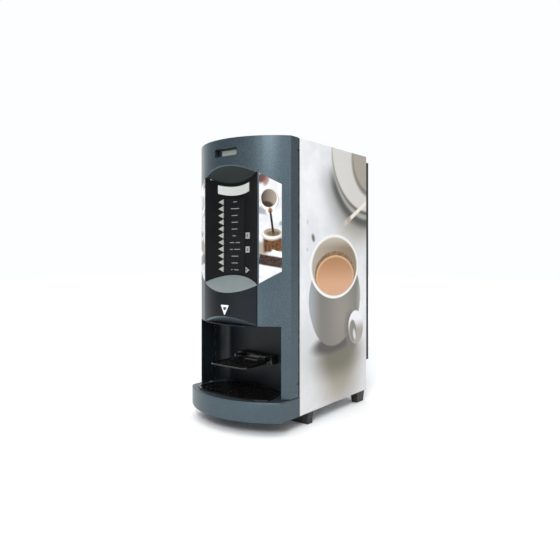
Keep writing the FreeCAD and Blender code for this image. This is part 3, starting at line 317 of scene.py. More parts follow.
# saucer and second cup, out of focus at the top, with their shadow on the near side
below = add(tree, "MapRange", {"Value": split[2], "From Min": 0.73, "From Max": 0.64}, **SMOOTH).outputs[0]
for centre, half, soft, colour, share in (((206, 708), (214, 182), 50, "#6a6c67", 0.85),
                                          ((222, 732), (210, 186), 14, "#40403b", 0.95)):
    outline = oval(tree, place, SIDE, centre, half, 0, soft)
    shadow = add(tree, "Math", {0: below, 1: outline}, operation="MULTIPLY").outputs[0]
    picture = ink(tree, picture, shadow, colour, share)
picture = ovals(tree, place, SIDE, picture, (
    ((226, 748), (198, 178), 0, 6, "#9c9b94", 1.0),
    ((228, 757), (197, 173), 0, 5, "#55544b", 1.0),
    ((228, 763), (197, 168), 0, 5, "#c8c6c1", 1.0),
    ((250, 746), (112, 106), 0, 9, "#66614f", 0.95),
    ((254, 754), (108, 98), 0, 6, "#9a9388", 1.0)))
# spoon and its tip
picture = ink(tree, picture, slab(tree, place, SIDE, (178, 596), (74, 6), 29, 3), "#e6ddd0")
picture = ink(tree, picture, slab(tree, place, SIDE, (122, 565), (11, 6), 29, 4), "#9c8170", 0.8)
# the mug's soft shadow, warmed by light that comes through the coffee
picture = ovals(tree, place, SIDE, picture, (
    ((76, 136), (96, 94), 0, 64, "#837960", 0.85),
    ((66, 180), (110, 56), 0, 34, "#514c34", 0.95),
    ((46, 218), (108, 28), 4, 9, "#2a251f", 1.0)))
# mug body: a bright line along its left edge, then even warm grey
body_mask = oval(tree, place, SIDE, (52, 340), (136, 126), 0, 2.2)
lower_mask = oval(tree, place, SIDE, (42, 318), (117, 110), 0, 2.2)
mask = add(tree, "MapRange", {"Value": split[1], "From Min": -0.085, "From Max": -0.02}, **SMOOTH).outputs[0]
wall = ovals(tree, place, SIDE, ink(tree, "#92969a", mask, "#66635b"), (
    ((82, 310), (52, 110), 0, 40, "#7f786c", 0.85),
    ((190, 330), (16, 90), 0, 14, "#9d9a8f", 0.8)))
outline = add(tree, "Math", {0: body_mask, 1: lower_mask}, operation="MAXIMUM").outputs[0]
picture = ink(tree, picture, outline, wall)
# handle: a ring seen from the side, light on top, with a dark gap and a bright far edge inside it
mask = add(tree, "MapRange", {"Value": split[2], "From Min": 0.235, "From Max": 0.275}, **SMOOTH).outputs[0]
grip = ink(tree, "#958d82", mask, "#e2e1e4")
picture = ovals(tree, place, SIDE, picture, (
    ((136, 240), (36, 58), 10, 10, "#57534a", 0.9),
    ((162, 247), (43, 50), 12, 2, grip, 1.0),
    ((146, 238), (18, 33), 12, 2, "#6e6a62", 1.0),
    ((153, 226), (7, 16), 12, 3, "#cfcecd", 0.95)))
# rim and inside wall, and milky coffee with a dark ring of foam
mask = add(tree, "MapRange", {"Value": split[1], "From Min": -0.06, "From Max": 0.12}, **SMOOTH).outputs[0]
inside = ink(tree, "#a2998a", mask, "#84735a")
mask = add(tree, "MapRange", {"Value": split[2], "From Min": 0.478, "From Max": 0.51}, **SMOOTH).outputs[0]
inside = ink(tree, inside, mask, "#bdb5a8", 0.7)
picture = ovals(tree, place, SIDE, picture, (
    ((48, 430), (127, 90), 0, 1.6, "#e6e5e3", 1.0),
    ((48.5, 430), (118, 82), 0, 3, inside, 1.0)))
cup_mask = oval(tree, place, SIDE, (48.5, 430), (116, 80.5), 0, 1.6)
froth = add(tree, "TexNoise", {"Vector": place, "Scale": 180.0, "Detail": 3.0}).outputs["Fac"]
mask = add(tree, "MapRange", {"Value": froth, "From Min": 0.4, "From Max": 0.62}, **SMOOTH).outputs[0]
dark_ring = ink(tree, "#5c4120", mask, "#94714a")
mask = add(tree, "MapRange", {"Value": split[2], "From Min": 0.37, "From Max": 0.455}, **SMOOTH).outputs[0]
coffee = ink(tree, "#c89670", mask, "#a77648")
for centre, half, soft, colour in (((49.5, 409), (105, 64), 1.4, dark_ring),
                                   ((49.5, 402.5), (99, 59), 1.5, "#cfa983"),
                                   ((49.5, 400), (94, 56.5), 3, coffee)):
    outline = oval(tree, place, SIDE, centre, half, 0, soft)
    surface = add(tree, "Math", {0: cup_mask, 1: outline}, operation="MULTIPLY").outputs[0]
    picture = ink(tree, picture, surface, colour)
# leaf and crumbs on the table
picture = ovals(tree, place, SIDE, picture, (
    ((-63, 508), (7, 11), 25, 3, "#5c6450", 0.95),
    ((-89, 549), (4, 6), 0, 3, "#a9abb3", 0.7),
    ((-91, 477), (4, 5), 0, 3, "#b0b1b6", 0.7)))
# the print stays off the folded edges, where the white coat shows
geometry = add(tree, "NewGeometry").outputs["Normal"]
outward = add(tree, "SeparateXYZ", {0: geometry}).outputs[0]
mask = add(tree, "MapRange", {"Value": outward, "From Min": 0.5, "From Max": 0.8}, **SMOOTH).outputs[0]
picture = add(tree, "Mix", {"Factor": mask, "A": linear("#c9cacc"), "B": picture},
              data_type="RGBA").outputs["Result"]
tree.links.new(picture, shader.inputs["Base Color"])
peel = add(tree, "TexNoise", {"Vector": place, "Scale": 480.0, "Detail": 1.0})
bump = add(tree, "Bump", {"Height": peel.outputs["Fac"], "Strength": 0.2, "Distance": 0.0002})
tree.links.new(bump.outputs[0], shader.inputs["Normal"])
eased("right_side_panel", 0.0009).materials.append(film)


# --- door shell, display bezel, drip base and top lid -------------------------------------------
# Injection-moulded ABS sprayed with a slate metallic base and a satin lacquer. The flake is about
# 0.1 mm; it is drawn at 1.6 mm so that it shows. The mould leaves the edges 1 mm round.
def sprayed_slate(name, low, high, coat, underside_painted_light=None):
    """Flake paint in two tones under a lacquer; faces that look down may get a tone of their own, painted
    light from below.
    """
    material, tree, shader, place = finish(name, {
        "Metallic": 0.7, "Roughness": 0.4, "Coat Weight": coat, "Coat Roughness": 0.35})
    flake = add(tree, "TexNoise", {"Vector": place, "Scale": 620.0, "Detail": 3.0,
                                   "Roughness": 0.7}).outputs["Fac"]
    cloud = add(tree, "TexNoise", {"Vector": place, "Scale": 11.0, "Detail": 4.0}).outputs["Fac"]
    mist = add(tree, "MapRange", {"Value": cloud, "From Min": 0.3, "From Max": 0.7,
                                  "To Min": 0.0, "To Max": 0.25}).outputs[0]
    mask = add(tree, "MapRange", {"Value": flake, "From Min": 0.3, "From Max": 0.7}, **SMOOTH).outputs[0]
    paint = ink(tree, ink(tree, low, mask, high), mist, low)
    # Downward faces are painted the given tone: painted light standing in for light from below.
    if underside_painted_light:
        normal = add(tree, "NewGeometry").outputs["True Normal"]
        upward = add(tree, "SeparateXYZ", {0: normal}).outputs[2]
        mask = add(tree, "MapRange", {"Value": upward, "From Min": -0.12, "From Max": -0.3},
                   **SMOOTH).outputs[0]
        paint = ink(tree, paint, mask, underside_painted_light)
    rough = add(tree, "MapRange", {"Value": flake, "To Min": 0.3, "To Max": 0.48})
    bump = add(tree, "Bump", {"Height": flake, "Strength": 0.3, "Distance": 0.0002})
    tree.links.new(paint, shader.inputs["Base Color"])
    tree.links.new(rough.outputs[0], shader.inputs["Roughness"])
    tree.links.new(bump.outputs[0], shader.inputs["Normal"])
    return material


slate = sprayed_slate("slate_metallic_spray_on_abs", "#37444b", "#56666e", 0.1)
for node, edge_round in (("door_shell", 0.0012), ("display_bezel", 0.0004), ("drip_base", 0.0011),
                         ("top_cover", 0.0008)):
    eased(node, edge_round).materials.append(slate)


# --- column front and its cup sign --------------------------------------------------------------
# The lower front of the door's centre column is its own moulding in a darker slate, clipped in
# from behind; its sloping underside forms the arch over the cup. A white printed sign on it, a
# rounded triangle with a cup in it, points to where the drink comes out.
# The arch's downward faces are painted a lighter slate, #5d6b72: painted light from below.
dark_slate = sprayed_slate("dark_slate_spray_with_painted_underside_light", "#0c1217", "#151c21", 0.0, "#5d6b72")
eased("column_panel", 0.001).materials.append(dark_slate)

INK_THICKNESS = 0.00025
SLICE = 0.004
DOOR_FACE = (-16.17, -212.03)


def printed(name, outlines, face, lift, rounding, body, material):
    """Thin printed work in x and z (mm), laid on an upright round face: its centre's y and its
    radius, which is negative where the face bulges forward."""
    shape = bmesh.new()
    for outline in outlines:
        shape.faces.new([shape.verts.new((x / 1000, 0, z / 1000)) for x, z in outline])
    if rounding:
        bmesh.ops.bevel(shape, geom=shape.verts[:], offset=rounding / 1000, offset_type="OFFSET",
                        affect="VERTICES", segments=4, profile=0.5, material=-1)
    low = min(vert.co.x for vert in shape.verts)
    high = max(vert.co.x for vert in shape.verts)
    steps = max(1, int((high - low) / SLICE))
    for step in range(1, steps):
        whole = shape.verts[:] + shape.edges[:] + shape.faces[:]
        bmesh.ops.bisect_plane(shape, geom=whole, dist=0.000001, plane_no=(1, 0, 0),
                               plane_co=(low + (high - low) * step / steps, 0, 0))
    grown = bmesh.ops.extrude_face_region(shape, geom=shape.faces[:])
    bmesh.ops.translate(shape, vec=(0, -INK_THICKNESS, 0),
                        verts=[item for item in grown["geom"] if isinstance(item, bmesh.types.BMVert)])
    centre, radius = face[0] / 1000, face[1] / 1000
    for vert in shape.verts:
        reach = math.sqrt(radius ** 2 - vert.co.x ** 2)
        vert.co.y += centre + math.copysign(reach, radius) - lift / 1000
    bmesh.ops.recalc_face_normals(shape, faces=shape.faces)
    mesh = bpy.data.meshes.new(name)
    shape.to_mesh(mesh)
    shape.free()
    mesh.materials.append(material)
    piece = link(bpy.data.objects.new(name, mesh))
    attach(piece, body)


def screen_ink(name, dark, light):
    """Screen-printed ink: nearly even, with a faint mesh of 0.8 mm drawn so that it shows."""
    material, tree, shader, place = finish(name, {"Roughness": 0.45})
    weave = add(tree, "TexNoise", {"Vector": place, "Scale": 1250.0, "Detail": 1.0}).outputs["Fac"]
    tree.links.new(ink(tree, dark, weave, light), shader.inputs["Base Color"])
    return material


white_ink = screen_ink("white_screen_ink", "#d4d6d6", "#e4e6e6")
dark_ink = screen_ink("dark_screen_ink", "#1b1f24", "#262a30")
printed("cup_sign", [[(-14.5, 319.5), (14.5, 319.5), (0, 292.5)]], DOOR_FACE, 0.0, 3.0, "door", white_ink)
SIGN_CUP = [(-5.0, 314), (5.0, 314), (4.2, 309), (1.6, 306), (-1.6, 306), (-4.2, 309)]
SIGN_HANDLE = [(4.6, 313), (7.2, 312.2), (6.4, 309), (4.0, 308.6), (4.2, 309.8), (5.4, 310.2), (5.6, 311.6)]
printed("cup_sign_cup", [SIGN_CUP, SIGN_HANDLE], DOOR_FACE, 0.15, 0, "door", dark_ink)


# --- control panel and its legend strip ---------------------------------------------------------
# A hollowed black ABS moulding with a polished face, snapped into the door. A black printed strip
# of film beside the keys has one plain light mark, with no words, for each drink.
HOLLOW = (-410.5, 223.0)
KEY_TOP, KEY_PITCH = 590.4, 17.98

gloss_black = moulded("polished_black_abs", "#090a0b", "#0f1011", 0.42, 1.2, 0.00002,
                      {"Specular IOR Level": 0.1})
eased("control_panel", 0.0005).materials.append(gloss_black)
film_black = moulded("black_polyester_film", "#101213", "#161819", 0.42, 1.5, 0.00003,
                     {"Specular IOR Level": 0.1})
printed("legend_strip", [[(-33, 401), (35, 401), (35, 598), (-33, 598)]], HOLLOW, 0.3, 2.0, "door",
        film_black)
grey_ink = screen_ink("grey_screen_ink", "#77797a", "#8b8d8e")
DASH_ENDS = [(-7, 7), (-15, 15), (-12, 9), (-12, 10), (-12, 8), (-9, 3), (-18, -3, 2, 18),
             (-18, -8, -3, 18), (-12, 12), (-12, 10), (-14, -9, -4, 12)]
legend = []
for row, ends in enumerate(DASH_ENDS):
    level = KEY_TOP - row * KEY_PITCH - 1.0
    for left, right in zip(ends[::2], ends[1::2]):
        legend.append([(left, level - 1), (right, level - 1), (right, level + 1), (left, level + 1)])
printed("legend_marks", legend, HOLLOW, 0.5, 0.4, "door", grey_ink)


# --- keys -------------------------------------------------------------------------------------
# Fourteen light grey ABS key caps in guides behind the panel: arrows beside the drinks, two
# square option keys and one arrow that cancels. Three of them carry a small dark printed mark.
key_plastic = moulded("moulded_light_grey_abs", "#8c8e8a", "#999b97", 0.42, 1.0, 0.00004)
for node in [node for node in frame["nodes"] if "_key" in node]:
    eased(node, 0.0006, sharp=30).materials.append(key_plastic)
KEY_STANDS_OUT = 2.0
KEY_FACE = (HOLLOW[0], HOLLOW[1] - KEY_STANDS_OUT)
for name, row in (("option_key_1", 5), ("option_key_2", 7)):
    level = KEY_TOP - row * KEY_PITCH - 1.5
    bars = [[(46, level + z), (52.6, level + z), (52.6, level + z + 1.3), (46, level + z + 1.3)]
            for z in (-3.2, -0.6, 2.0)]
    printed(name + "_mark", bars, KEY_FACE, 0.1, 0, body_of[name], dark_ink)
level = KEY_TOP - 10 * KEY_PITCH
printed("cancel_key_mark", [[(44, level + 2.6), (49, level), (44, level - 2.6)]], KEY_FACE, 0.1, 0.5,
        body_of["cancel_key"], dark_ink)


# --- plate over the keys ------------------------------------------------------------------------
# A blank silver-grey plate, pressed from printed sheet and glued over the keys. Its fine brushed
# lines run across it.
plate, tree, shader, place = finish("silver_grey_printed_sheet", {"Roughness": 0.38, "Metallic": 0.1})
long_lines = add(tree, "Mapping", {"Vector": place, "Scale": (12.0, 12.0, 900.0)})
brushed = add(tree, "TexNoise", {"Vector": long_lines.outputs[0], "Scale": 1.0, "Detail": 3.0}).outputs["Fac"]
tree.links.new(ink(tree, "#b2b6b2", brushed, "#c6cac6"), shader.inputs["Base Color"])
eased("badge_plate", 0.0003).materials.append(plate)


# --- light bars -------------------------------------------------------------------------------
# Two polycarbonate bars close the top and bottom of the control panel's hollow. The lower one, which faces
# up, is made light grey, partly as painted light; the upper one, which faces down, is made near black, partly
# as painted shade.
# Lower bar: light grey, partly painted light on its upward face.
eased("lower_lens", 0.0004).materials.append(
    moulded("grey_polycarbonate_with_painted_light", "#687171", "#747e7e", 0.5, 1.2, 0.00003))
# Upper bar: near black, partly painted shade on its downward face.
eased("upper_lens", 0.0004).materials.append(
    moulded("dark_polycarbonate_with_painted_shade", "#1a2121", "#202828", 0.45, 1.2, 0.00003, {"Specular IOR Level": 0.15}))


# --- display ------------------------------------------------------------------------------------
# A liquid-crystal module behind the bezel: a green-grey glass with faint rows of dot cells, held
# by a black lacquered steel frame. The rest of the module is black.
DOOR_PRINT = (0, 2)
glass, tree, shader, place = finish("black_lacquered_module_with_lcd", {"Roughness": 0.3})
split = add(tree, "SeparateXYZ", {0: place}).outputs
window = slab(tree, place, DOOR_PRINT, (1.0, 715.0), (25.5, 6.4), 0, 0.4)
flat = add(tree, "CombineXYZ", {0: split[0], 1: split[2]}).outputs[0]
cells = add(tree, "TexBrick", {"Vector": flat, "Color1": linear("#8f978c"), "Color2": linear("#959d92"),
                               "Mortar": linear("#a0a89d"), "Scale": 1.0, "Mortar Size": 0.0003,
                               "Brick Width": 0.003, "Row Height": 0.0055}, offset=0.0)
lacquer = add(tree, "TexNoise", {"Vector": place, "Scale": 300.0, "Detail": 2.0}).outputs["Fac"]
black = ink(tree, "#0e1011", lacquer, "#17191a")
tree.links.new(ink(tree, black, window, cells.outputs["Color"]), shader.inputs["Base Color"])
frame["nodes"]["lcd_module"].material_slots[0].material = glass

LCD_X, LCD_Z = 0.001, 0.715
RIM_SIZE, RIM_BAR, RIM_LIFT = (0.060, 0.0185, 1), 0.0028, 0.0014
lcd_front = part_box("lcd_module")[0].y
rim = bmesh.new()
bmesh.ops.create_grid(rim, x_segments=1, y_segments=1, size=0.5)
bmesh.ops.scale(rim, vec=RIM_SIZE, verts=rim.verts)
middle = rim.faces[:][0]
bmesh.ops.inset_region(rim, faces=[middle], thickness=RIM_BAR, use_even_offset=True, use_boundary=True)
bmesh.ops.delete(rim, geom=[middle], context="FACES_ONLY")
raised = bmesh.ops.extrude_face_region(rim, geom=rim.faces[:])
bmesh.ops.translate(rim, vec=(0, 0, RIM_LIFT),
                    verts=[item for item in raised["geom"] if isinstance(item, bmesh.types.BMVert)])
bmesh.ops.bevel(rim, geom=[edge for edge in rim.edges if edge.calc_length() > 0.001], offset=0.0003,
                offset_type="OFFSET", affect="EDGES", segments=2, profile=0.5, material=-1)
bmesh.ops.rotate(rim, cent=(0, 0, 0), matrix=Matrix.Rotation(math.radians(90), 3, "X"), verts=rim.verts)
bmesh.ops.translate(rim, vec=(LCD_X, lcd_front, LCD_Z), verts=rim.verts)
bmesh.ops.recalc_face_normals(rim, faces=rim.faces)
rim_mesh = bpy.data.meshes.new("lcd_frame")
rim.to_mesh(rim_mesh)
rim.free()
rim_mesh.materials.append(moulded("black_lacquered_steel", "#2a2d2f", "#3a3e40", 0.3, 1.0, 0.00002))
lcd_frame = link(bpy.data.objects.new("lcd_frame", rim_mesh))
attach(lcd_frame, "door")


# --- door picture panels ------------------------------------------------------------------------
# Two bent panels of printed polyester film, mirrored left and right of the keys, let into the
# door. They show a jug of coffee poured into a cup on a pale table.
poster, tree, shader, place = finish("printed_polyester_film", {
    "Roughness": 0.25, "Coat Weight": 0.3, "Coat Roughness": 0.1})
place = add(tree, "VectorMath", {0: place}, operation="ABSOLUTE").outputs[0]
split = add(tree, "SeparateXYZ", {0: place}).outputs
soft_light = add(tree, "TexNoise", {"Vector": place, "Scale": 40.0, "Detail": 4.0}).outputs["Fac"]
mask = add(tree, "MapRange", {"Value": soft_light, "From Min": 0.35, "From Max": 0.65}, **SMOOTH).outputs[0]
picture = ink(tree, "#c3c4c7", mask, "#d2d3d5")
picture = ovals(tree, place, DOOR_PRINT, picture, (((104, 425), (30, 22), 0, 14, "#cfced3", 0.8),))
# edge of the table behind the cup, and the hand that holds the jug
picture = ink(tree, picture, slab(tree, place, DOOR_PRINT, (100, 562), (14, 9), 12, 4), "#85858a", 0.9)
picture = ink(tree, picture, slab(tree, place, DOOR_PRINT, (103, 466), (13, 16), 10, 5), "#8d7d68", 0.85)
picture = ovals(tree, place, DOOR_PRINT, picture, (
    ((103, 644), (10, 15), 25, 4, "#4a241d", 0.95),
    ((112, 636), (6, 13), 12, 3, "#7a4436", 0.8)))
# jug with coffee in it
across = add(tree, "MapRange", {"Value": split[0], "From Min": 0.102, "From Max": 0.135}).outputs[0]
bowl = ink(tree, "#38271c", across, "#958a7f")
picture = ovals(tree, place, DOOR_PRINT, picture, (
    ((118.5, 588), (19.6, 29.6), 0, 1.5, "#a39c96", 1.0),
    ((121, 564), (9, 13), 0, 1.2, "#d9d4d0", 1.0),
    ((118, 588.7), (18.4, 28.2), 0, 1.0, "#dddad7", 1.0)))
jug_mask = oval(tree, place, DOOR_PRINT, (118, 592), (16.6, 23), 0, 1.0)
picture = ink(tree, picture, jug_mask, bowl)
pool = oval(tree, place, DOOR_PRINT, (114, 574), (14, 10), 20, 3)
in_jug = add(tree, "Math", {0: jug_mask, 1: pool}, operation="MULTIPLY").outputs[0]
picture = ink(tree, picture, in_jug, "#2a140c", 0.95)
picture = ovals(tree, place, DOOR_PRINT, picture, (((121, 561), (5, 7), 0, 2, "#8a5b42", 0.9),))
# cup in a wicker sleeve, and the stream of coffee into it
cane = add(tree, "TexNoise", {"Vector": place, "Scale": 160.0, "Detail": 3.0}).outputs["Fac"]
mask = add(tree, "MapRange", {"Value": cane, "From Min": 0.35, "From Max": 0.65}, **SMOOTH).outputs[0]
wicker = ink(tree, "#412712", mask, "#6d4422")
shaded = add(tree, "MapRange", {"Value": split[0], "From Min": 0.116, "From Max": 0.107}).outputs[0]
wicker = ink(tree, wicker, shaded, "#2e241b", 0.7)
picture = ink(tree, picture, slab(tree, place, DOOR_PRINT, (126, 474), (19.5, 17), -3, 3), wicker)
picture = ovals(tree, place, DOOR_PRINT, picture, (
    ((124, 500), (20.5, 15), 0, 1.5, "#9a958c", 1.0),
    ((124, 503), (20, 14.5), 0, 1.2, "#cfccc6", 1.0),
    ((125, 506), (17.5, 10), 0, 1.2, "#8d8071", 1.0),
    ((127, 503), (13, 6.5), 0, 1.5, "#5e4c3b", 0.9)))
picture = ink(tree, picture, slab(tree, place, DOOR_PRINT, (124.2, 532), (2.2, 30), -6.3, 0.8), "#1d0c05")
# tray of beans, napkin and a soft green spot behind the cup
beans = add(tree, "TexVoronoi", {"Vector": place, "Scale": 190.0}).outputs["Distance"]
mask = add(tree, "MapRange", {"Value": beans, "From Min": 0.1, "From Max": 0.7}, **SMOOTH).outputs[0]
brown = ink(tree, "#4b2f22", mask, "#21130d")
picture = ink(tree, picture, slab(tree, place, DOOR_PRINT, (121, 434), (27, 13), 12, 2), brown)
picture = ink(tree, picture, slab(tree, place, DOOR_PRINT, (136, 452), (13, 5.5), 24, 1.5), "#ece9e6")
picture = ovals(tree, place, DOOR_PRINT, picture, (((142, 528), (3.5, 6), 0, 2, "#7f8a83", 0.8),))
tree.links.new(picture, shader.inputs["Base Color"])
eased("graphic_panels", 0.0002).materials.append(poster)


# --- inside of the door and its lock ------------------------------------------------------------
# A charcoal ABS cover closes the back of the door, with an extruded rubber gasket round it. The
# cam lock at the left edge is zinc with bright chrome plate.
charcoal = moulded("grained_charcoal_abs", "#171c1f", "#20262a", 0.5, 1.4, 0.00008)
for node in ("door_inner_cover", "nozzle_head"):
    frame["nodes"][node].material_slots[0].material = charcoal
frame["nodes"]["door_gasket"].material_slots[0].material = moulded(
    "extruded_epdm_rubber", "#121313", "#1b1c1c", 0.75, 1.8, 0.0001)
frame["nodes"]["door_lock"].material_slots[0].material = moulded(
    "bright_chrome_plate", "#c6c8ca", "#d6d8da", 0.14, 3.0, 0.00001, {"Metallic": 1.0})


# --- cup station --------------------------------------------------------------------------------
# The liner and the surround of the cup station are charcoal ABS with a fine satin grain; the
# surround belongs to the door. Steam and wiping leave the walls slightly uneven in gloss.
station, tree, shader, place = finish("satin_charcoal_abs", {"Roughness": 0.34, "Specular IOR Level": 0.25})
grain = add(tree, "TexNoise", {"Vector": place, "Scale": 700.0, "Detail": 2.0}).outputs["Fac"]
tall = add(tree, "Mapping", {"Vector": place, "Scale": (9.0, 9.0, 3.0)}).outputs[0]
wiped = add(tree, "TexNoise", {"Vector": tall, "Scale": 1.0, "Detail": 5.0}).outputs["Fac"]
gloss = add(tree, "MapRange", {"Value": wiped, "From Min": 0.3, "From Max": 0.7,
                               "To Min": 0.28, "To Max": 0.42})
bump = add(tree, "Bump", {"Height": grain, "Strength": 0.3, "Distance": 0.00005})
tree.links.new(ink(tree, "#11171a", wiped, "#192025"), shader.inputs["Base Color"])
tree.links.new(gloss.outputs[0], shader.inputs["Roughness"])
tree.links.new(bump.outputs[0], shader.inputs["Normal"])
eased("cup_station_surround", 0.0008).materials.append(station)
frame["nodes"]["cup_station_liner"].material_slots[0].material = station


# --- cup shelf and drip parts -------------------------------------------------------------------
# The folding shelf and the grid are glossy black ABS that has small scratches and a brown film between its
# bars, partly dried coffee and partly a painted brown sheen in place of the warm room that the gloss
# reflects. The tray under the grid is a plain dark grey vacuum-formed bin.
stained_black_with_painted_sheen, tree, shader, place = finish("glossy_black_abs_with_coffee_stain_and_painted_sheen", {"Roughness": 0.22})
coffee_film_and_sheen = add(tree, "TexNoise", {"Vector": place, "Scale": 45.0, "Detail": 6.0,
                                 "Roughness": 0.7}).outputs["Fac"]
drops = add(tree, "TexVoronoi", {"Vector": place, "Scale": 260.0}).outputs["Distance"]
# Brown film: partly dried coffee, partly a painted brown sheen.
mask = add(tree, "MapRange", {"Value": coffee_film_and_sheen, "From Min": 0.5, "From Max": 0.8}, **SMOOTH).outputs[0]
tone = ink(tree, "#0b0b0b", mask, "#231c14")
mask = add(tree, "MapRange", {"Value": drops, "From Min": 0.2, "From Max": 0.08}, **SMOOTH).outputs[0]
tone = ink(tree, tone, mask, "#2c261d", 0.35)
gloss = add(tree, "MapRange", {"Value": coffee_film_and_sheen, "From Min": 0.35, "From Max": 0.7,
                               "To Min": 0.12, "To Max": 0.32})
bump = add(tree, "Bump", {"Height": drops, "Strength": 0.1, "Distance": 0.0001})
tree.links.new(tone, shader.inputs["Base Color"])
tree.links.new(gloss.outputs[0], shader.inputs["Roughness"])
tree.links.new(bump.outputs[0], shader.inputs["Normal"])
for node, edge_round in (("cup_shelf", 0.0005), ("drip_grid", 0.0004), ("shelf_bracket", 0.0005)):
    eased(node, edge_round).materials.append(stained_black_with_painted_sheen)
eased("drip_tray", 0.0008).materials.append(
    moulded("vacuum_formed_hips", "#2a2c2d", "#35383a", 0.45, 1.5, 0.00005))


# --- rear cover, screws and inlets --------------------------------------------------------------
# A louvred steel cover in black powder coat stands off the back, held by zinc plated screws. Under
# it are a nylon mains inlet with plated blades and a brass inlet for the water hose.
black_coat = moulded("black_powder_coat", "#111213", "#1a1b1c", 0.5, 2.0, 0.00012)
for node in ("rear_cover", "hinge_brackets"):
    frame["nodes"][node].material_slots[0].material = black_coat
frame["nodes"]["panel_screws"].material_slots[0].material = moulded(
    "zinc_plated_steel", "#a3a5a0", "#bcbeb8", 0.3, 1.0, 0.00002, {"Metallic": 1.0})
inlets, tree, shader, place = finish("nylon_and_turned_brass", {"Roughness": 0.38})
side = add(tree, "SeparateXYZ", {0: place}).outputs[0]
is_brass = add(tree, "MapRange", {"Value": side, "From Min": -0.001, "From Max": 0.001}, **SMOOTH).outputs[0]
rings = add(tree, "Mapping", {"Vector": place, "Scale": (60.0, 900.0, 60.0)}).outputs[0]
turned = add(tree, "TexNoise", {"Vector": rings, "Scale": 1.0, "Detail": 2.0}).outputs["Fac"]
brass = ink(tree, "#a8873f", turned, "#c9a85c")
nylon = ink(tree, "#151515", turned, "#222222")
tree.links.new(ink(tree, nylon, is_brass, brass), shader.inputs["Base Color"])
tree.links.new(is_brass, shader.inputs["Metallic"])
frame["nodes"]["rear_inlets"].material_slots[0].material = inlets


# --- powder canisters, lid and augers -----------------------------------------------------------
# Three blow-moulded polypropylene canisters show the powder in them through their milky walls:
# coffee, milk and chocolate. One lid covers them, and white acetal augers turn in their feet.
canister, tree, shader, place = finish("milky_polypropylene_with_powder", {"Roughness": 0.4})
split = add(tree, "SeparateXYZ", {0: place}).outputs
grains = add(tree, "TexNoise", {"Vector": place, "Scale": 260.0, "Detail": 4.0}).outputs["Fac"]
heap = add(tree, "TexNoise", {"Vector": place, "Scale": 12.0, "Detail": 2.0}).outputs["Fac"]
FILL_LEVEL, HEAP_HEIGHT = 0.668, 0.05
level = add(tree, "Math", {0: heap, 1: HEAP_HEIGHT, 2: split[2]}, operation="MULTIPLY_ADD").outputs[0]
filled = add(tree, "MapRange", {"Value": level, "From Min": FILL_LEVEL + 0.004,
                                "From Max": FILL_LEVEL - 0.004},
             **SMOOTH).outputs[0]
mask = add(tree, "MapRange", {"Value": split[0], "From Min": -0.05, "From Max": -0.045}, **SMOOTH).outputs[0]
powder_tone = ink(tree, "#6d4a30", mask, "#d8cdb4")
mask = add(tree, "MapRange", {"Value": split[0], "From Min": 0.045, "From Max": 0.05}, **SMOOTH).outputs[0]
powder_tone = ink(tree, powder_tone, mask, "#5a3624")
mask = add(tree, "MapRange", {"Value": grains, "From Min": 0.45, "From Max": 0.6}, **SMOOTH).outputs[0]
powder_tone = ink(tree, powder_tone, mask, "#c9bfae", 0.25)
milky = ink(tree, "#cfd0cc", grains, "#dcddd9")
tree.links.new(ink(tree, milky, filled, powder_tone, 0.8), shader.inputs["Base Color"])
frame["nodes"]["canisters"].material_slots[0].material = canister
frame["nodes"]["canister_lid"].material_slots[0].material = moulded(
    "moulded_white_polypropylene", "#cfd0cc", "#dadbd7", 0.4, 1.4, 0.00006)
acetal = moulded("moulded_white_acetal", "#d2d2cc", "#e0e0da", 0.35, 1.2, 0.00003)
for node in ("auger_left", "auger_middle", "auger_right", "whipper_left", "whipper_right"):
    frame["nodes"][node].material_slots[0].material = acetal


# --- mixing bowls, hoses and motors -------------------------------------------------------------
# Grey polypropylene bowls mix powder and water, and silicone hoses lead to the nozzle head. Small
# geared motors in drawn steel cans drive the augers and the whippers.
frame["nodes"]["mixing_bowls"].material_slots[0].material = moulded(
    "moulded_grey_polypropylene", "#8e9294", "#9ca0a2", 0.42, 1.4, 0.00006)
frame["nodes"]["mixer_hoses"].material_slots[0].material = moulded(
    "extruded_silicone", "#c4c2b8", "#d2d0c6", 0.35, 2.5, 0.00005)
frame["nodes"]["gear_motors"].material_slots[0].material = moulded(
    "drawn_zinc_plated_steel", "#8c9092", "#a6aaac", 0.35, 2.5, 0.00003, {"Metallic": 0.9})


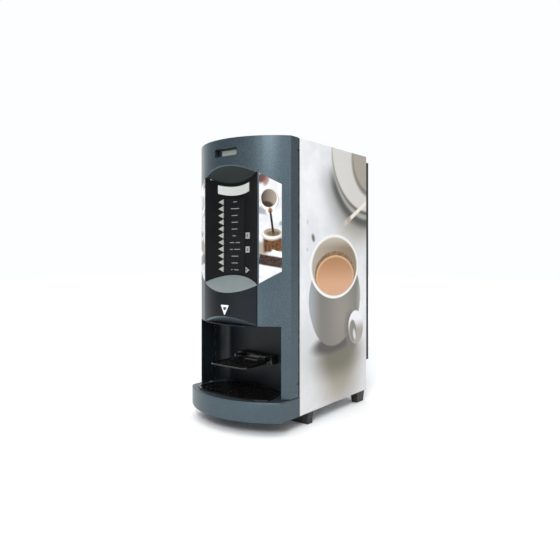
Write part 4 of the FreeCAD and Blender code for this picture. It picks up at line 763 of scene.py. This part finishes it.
# --- boiler, pump and boards --------------------------------------------------------------------
# The boiler wears a jacket of grey closed-cell foam, the pump is die-cast aluminium, and the two
# circuit boards are green glass-epoxy with black and white parts standing on them.
foam, tree, shader, place = finish("closed_cell_foam", {"Roughness": 0.9})
cells = add(tree, "TexVoronoi", {"Vector": place, "Scale": 450.0}).outputs["Distance"]
bump = add(tree, "Bump", {"Height": cells, "Strength": 0.6, "Distance": 0.0004})
mask = add(tree, "MapRange", {"Value": cells, "From Min": 0.1, "From Max": 0.7}, **SMOOTH).outputs[0]
tree.links.new(ink(tree, "#4a4c4e", mask, "#5d6062"), shader.inputs["Base Color"])
tree.links.new(bump.outputs[0], shader.inputs["Normal"])
frame["nodes"]["boiler"].material_slots[0].material = foam
frame["nodes"]["water_pump"].material_slots[0].material = moulded(
    "die_cast_aluminium", "#8d8f91", "#a4a6a8", 0.45, 1.2, 0.0001, {"Metallic": 0.95})


def circuit_board(name, board_y, parts_ahead):
    """Solder-masked board with tracks; parts stand ahead of it towards the door or behind it."""
    material, tree, shader, place = finish(name, {"Roughness": 0.35})
    split = add(tree, "SeparateXYZ", {0: place}).outputs
    flat = add(tree, "CombineXYZ", {0: split[0], 1: split[2]}).outputs[0]
    tracks = add(tree, "TexBrick", {"Vector": flat, "Color1": linear("#1d5236"), "Color2": linear("#236040"),
                                    "Mortar": linear("#3d8a5e"), "Scale": 1.0, "Mortar Size": 0.0005,
                                    "Brick Width": 0.017, "Row Height": 0.0042})
    part = add(tree, "TexVoronoi", {"Vector": place, "Scale": 38.0}).outputs["Color"]
    shade = add(tree, "SeparateColor", {"Color": part}).outputs[0]
    mask = add(tree, "MapRange", {"Value": shade, "From Min": 0.72, "From Max": 0.76}, **SMOOTH).outputs[0]
    parts = ink(tree, "#1a1a1b", mask, "#c8c5b8")
    side = -1 if parts_ahead else 1
    on_parts = add(tree, "MapRange", {"Value": split[1], "From Min": board_y + side * 0.0003,
                                      "From Max": board_y + side * 0.0006},
                   **SMOOTH).outputs[0]
    tree.links.new(ink(tree, tracks.outputs["Color"], on_parts, parts), shader.inputs["Base Color"])
    return material


frame["nodes"]["control_board"].material_slots[0].material = circuit_board(
    "glass_epoxy_control_board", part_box("control_board")[1].y - 0.012, True)
frame["nodes"]["keypad_board"].material_slots[0].material = circuit_board(
    "glass_epoxy_keypad_board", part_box("keypad_board")[0].y + 0.0016, False)
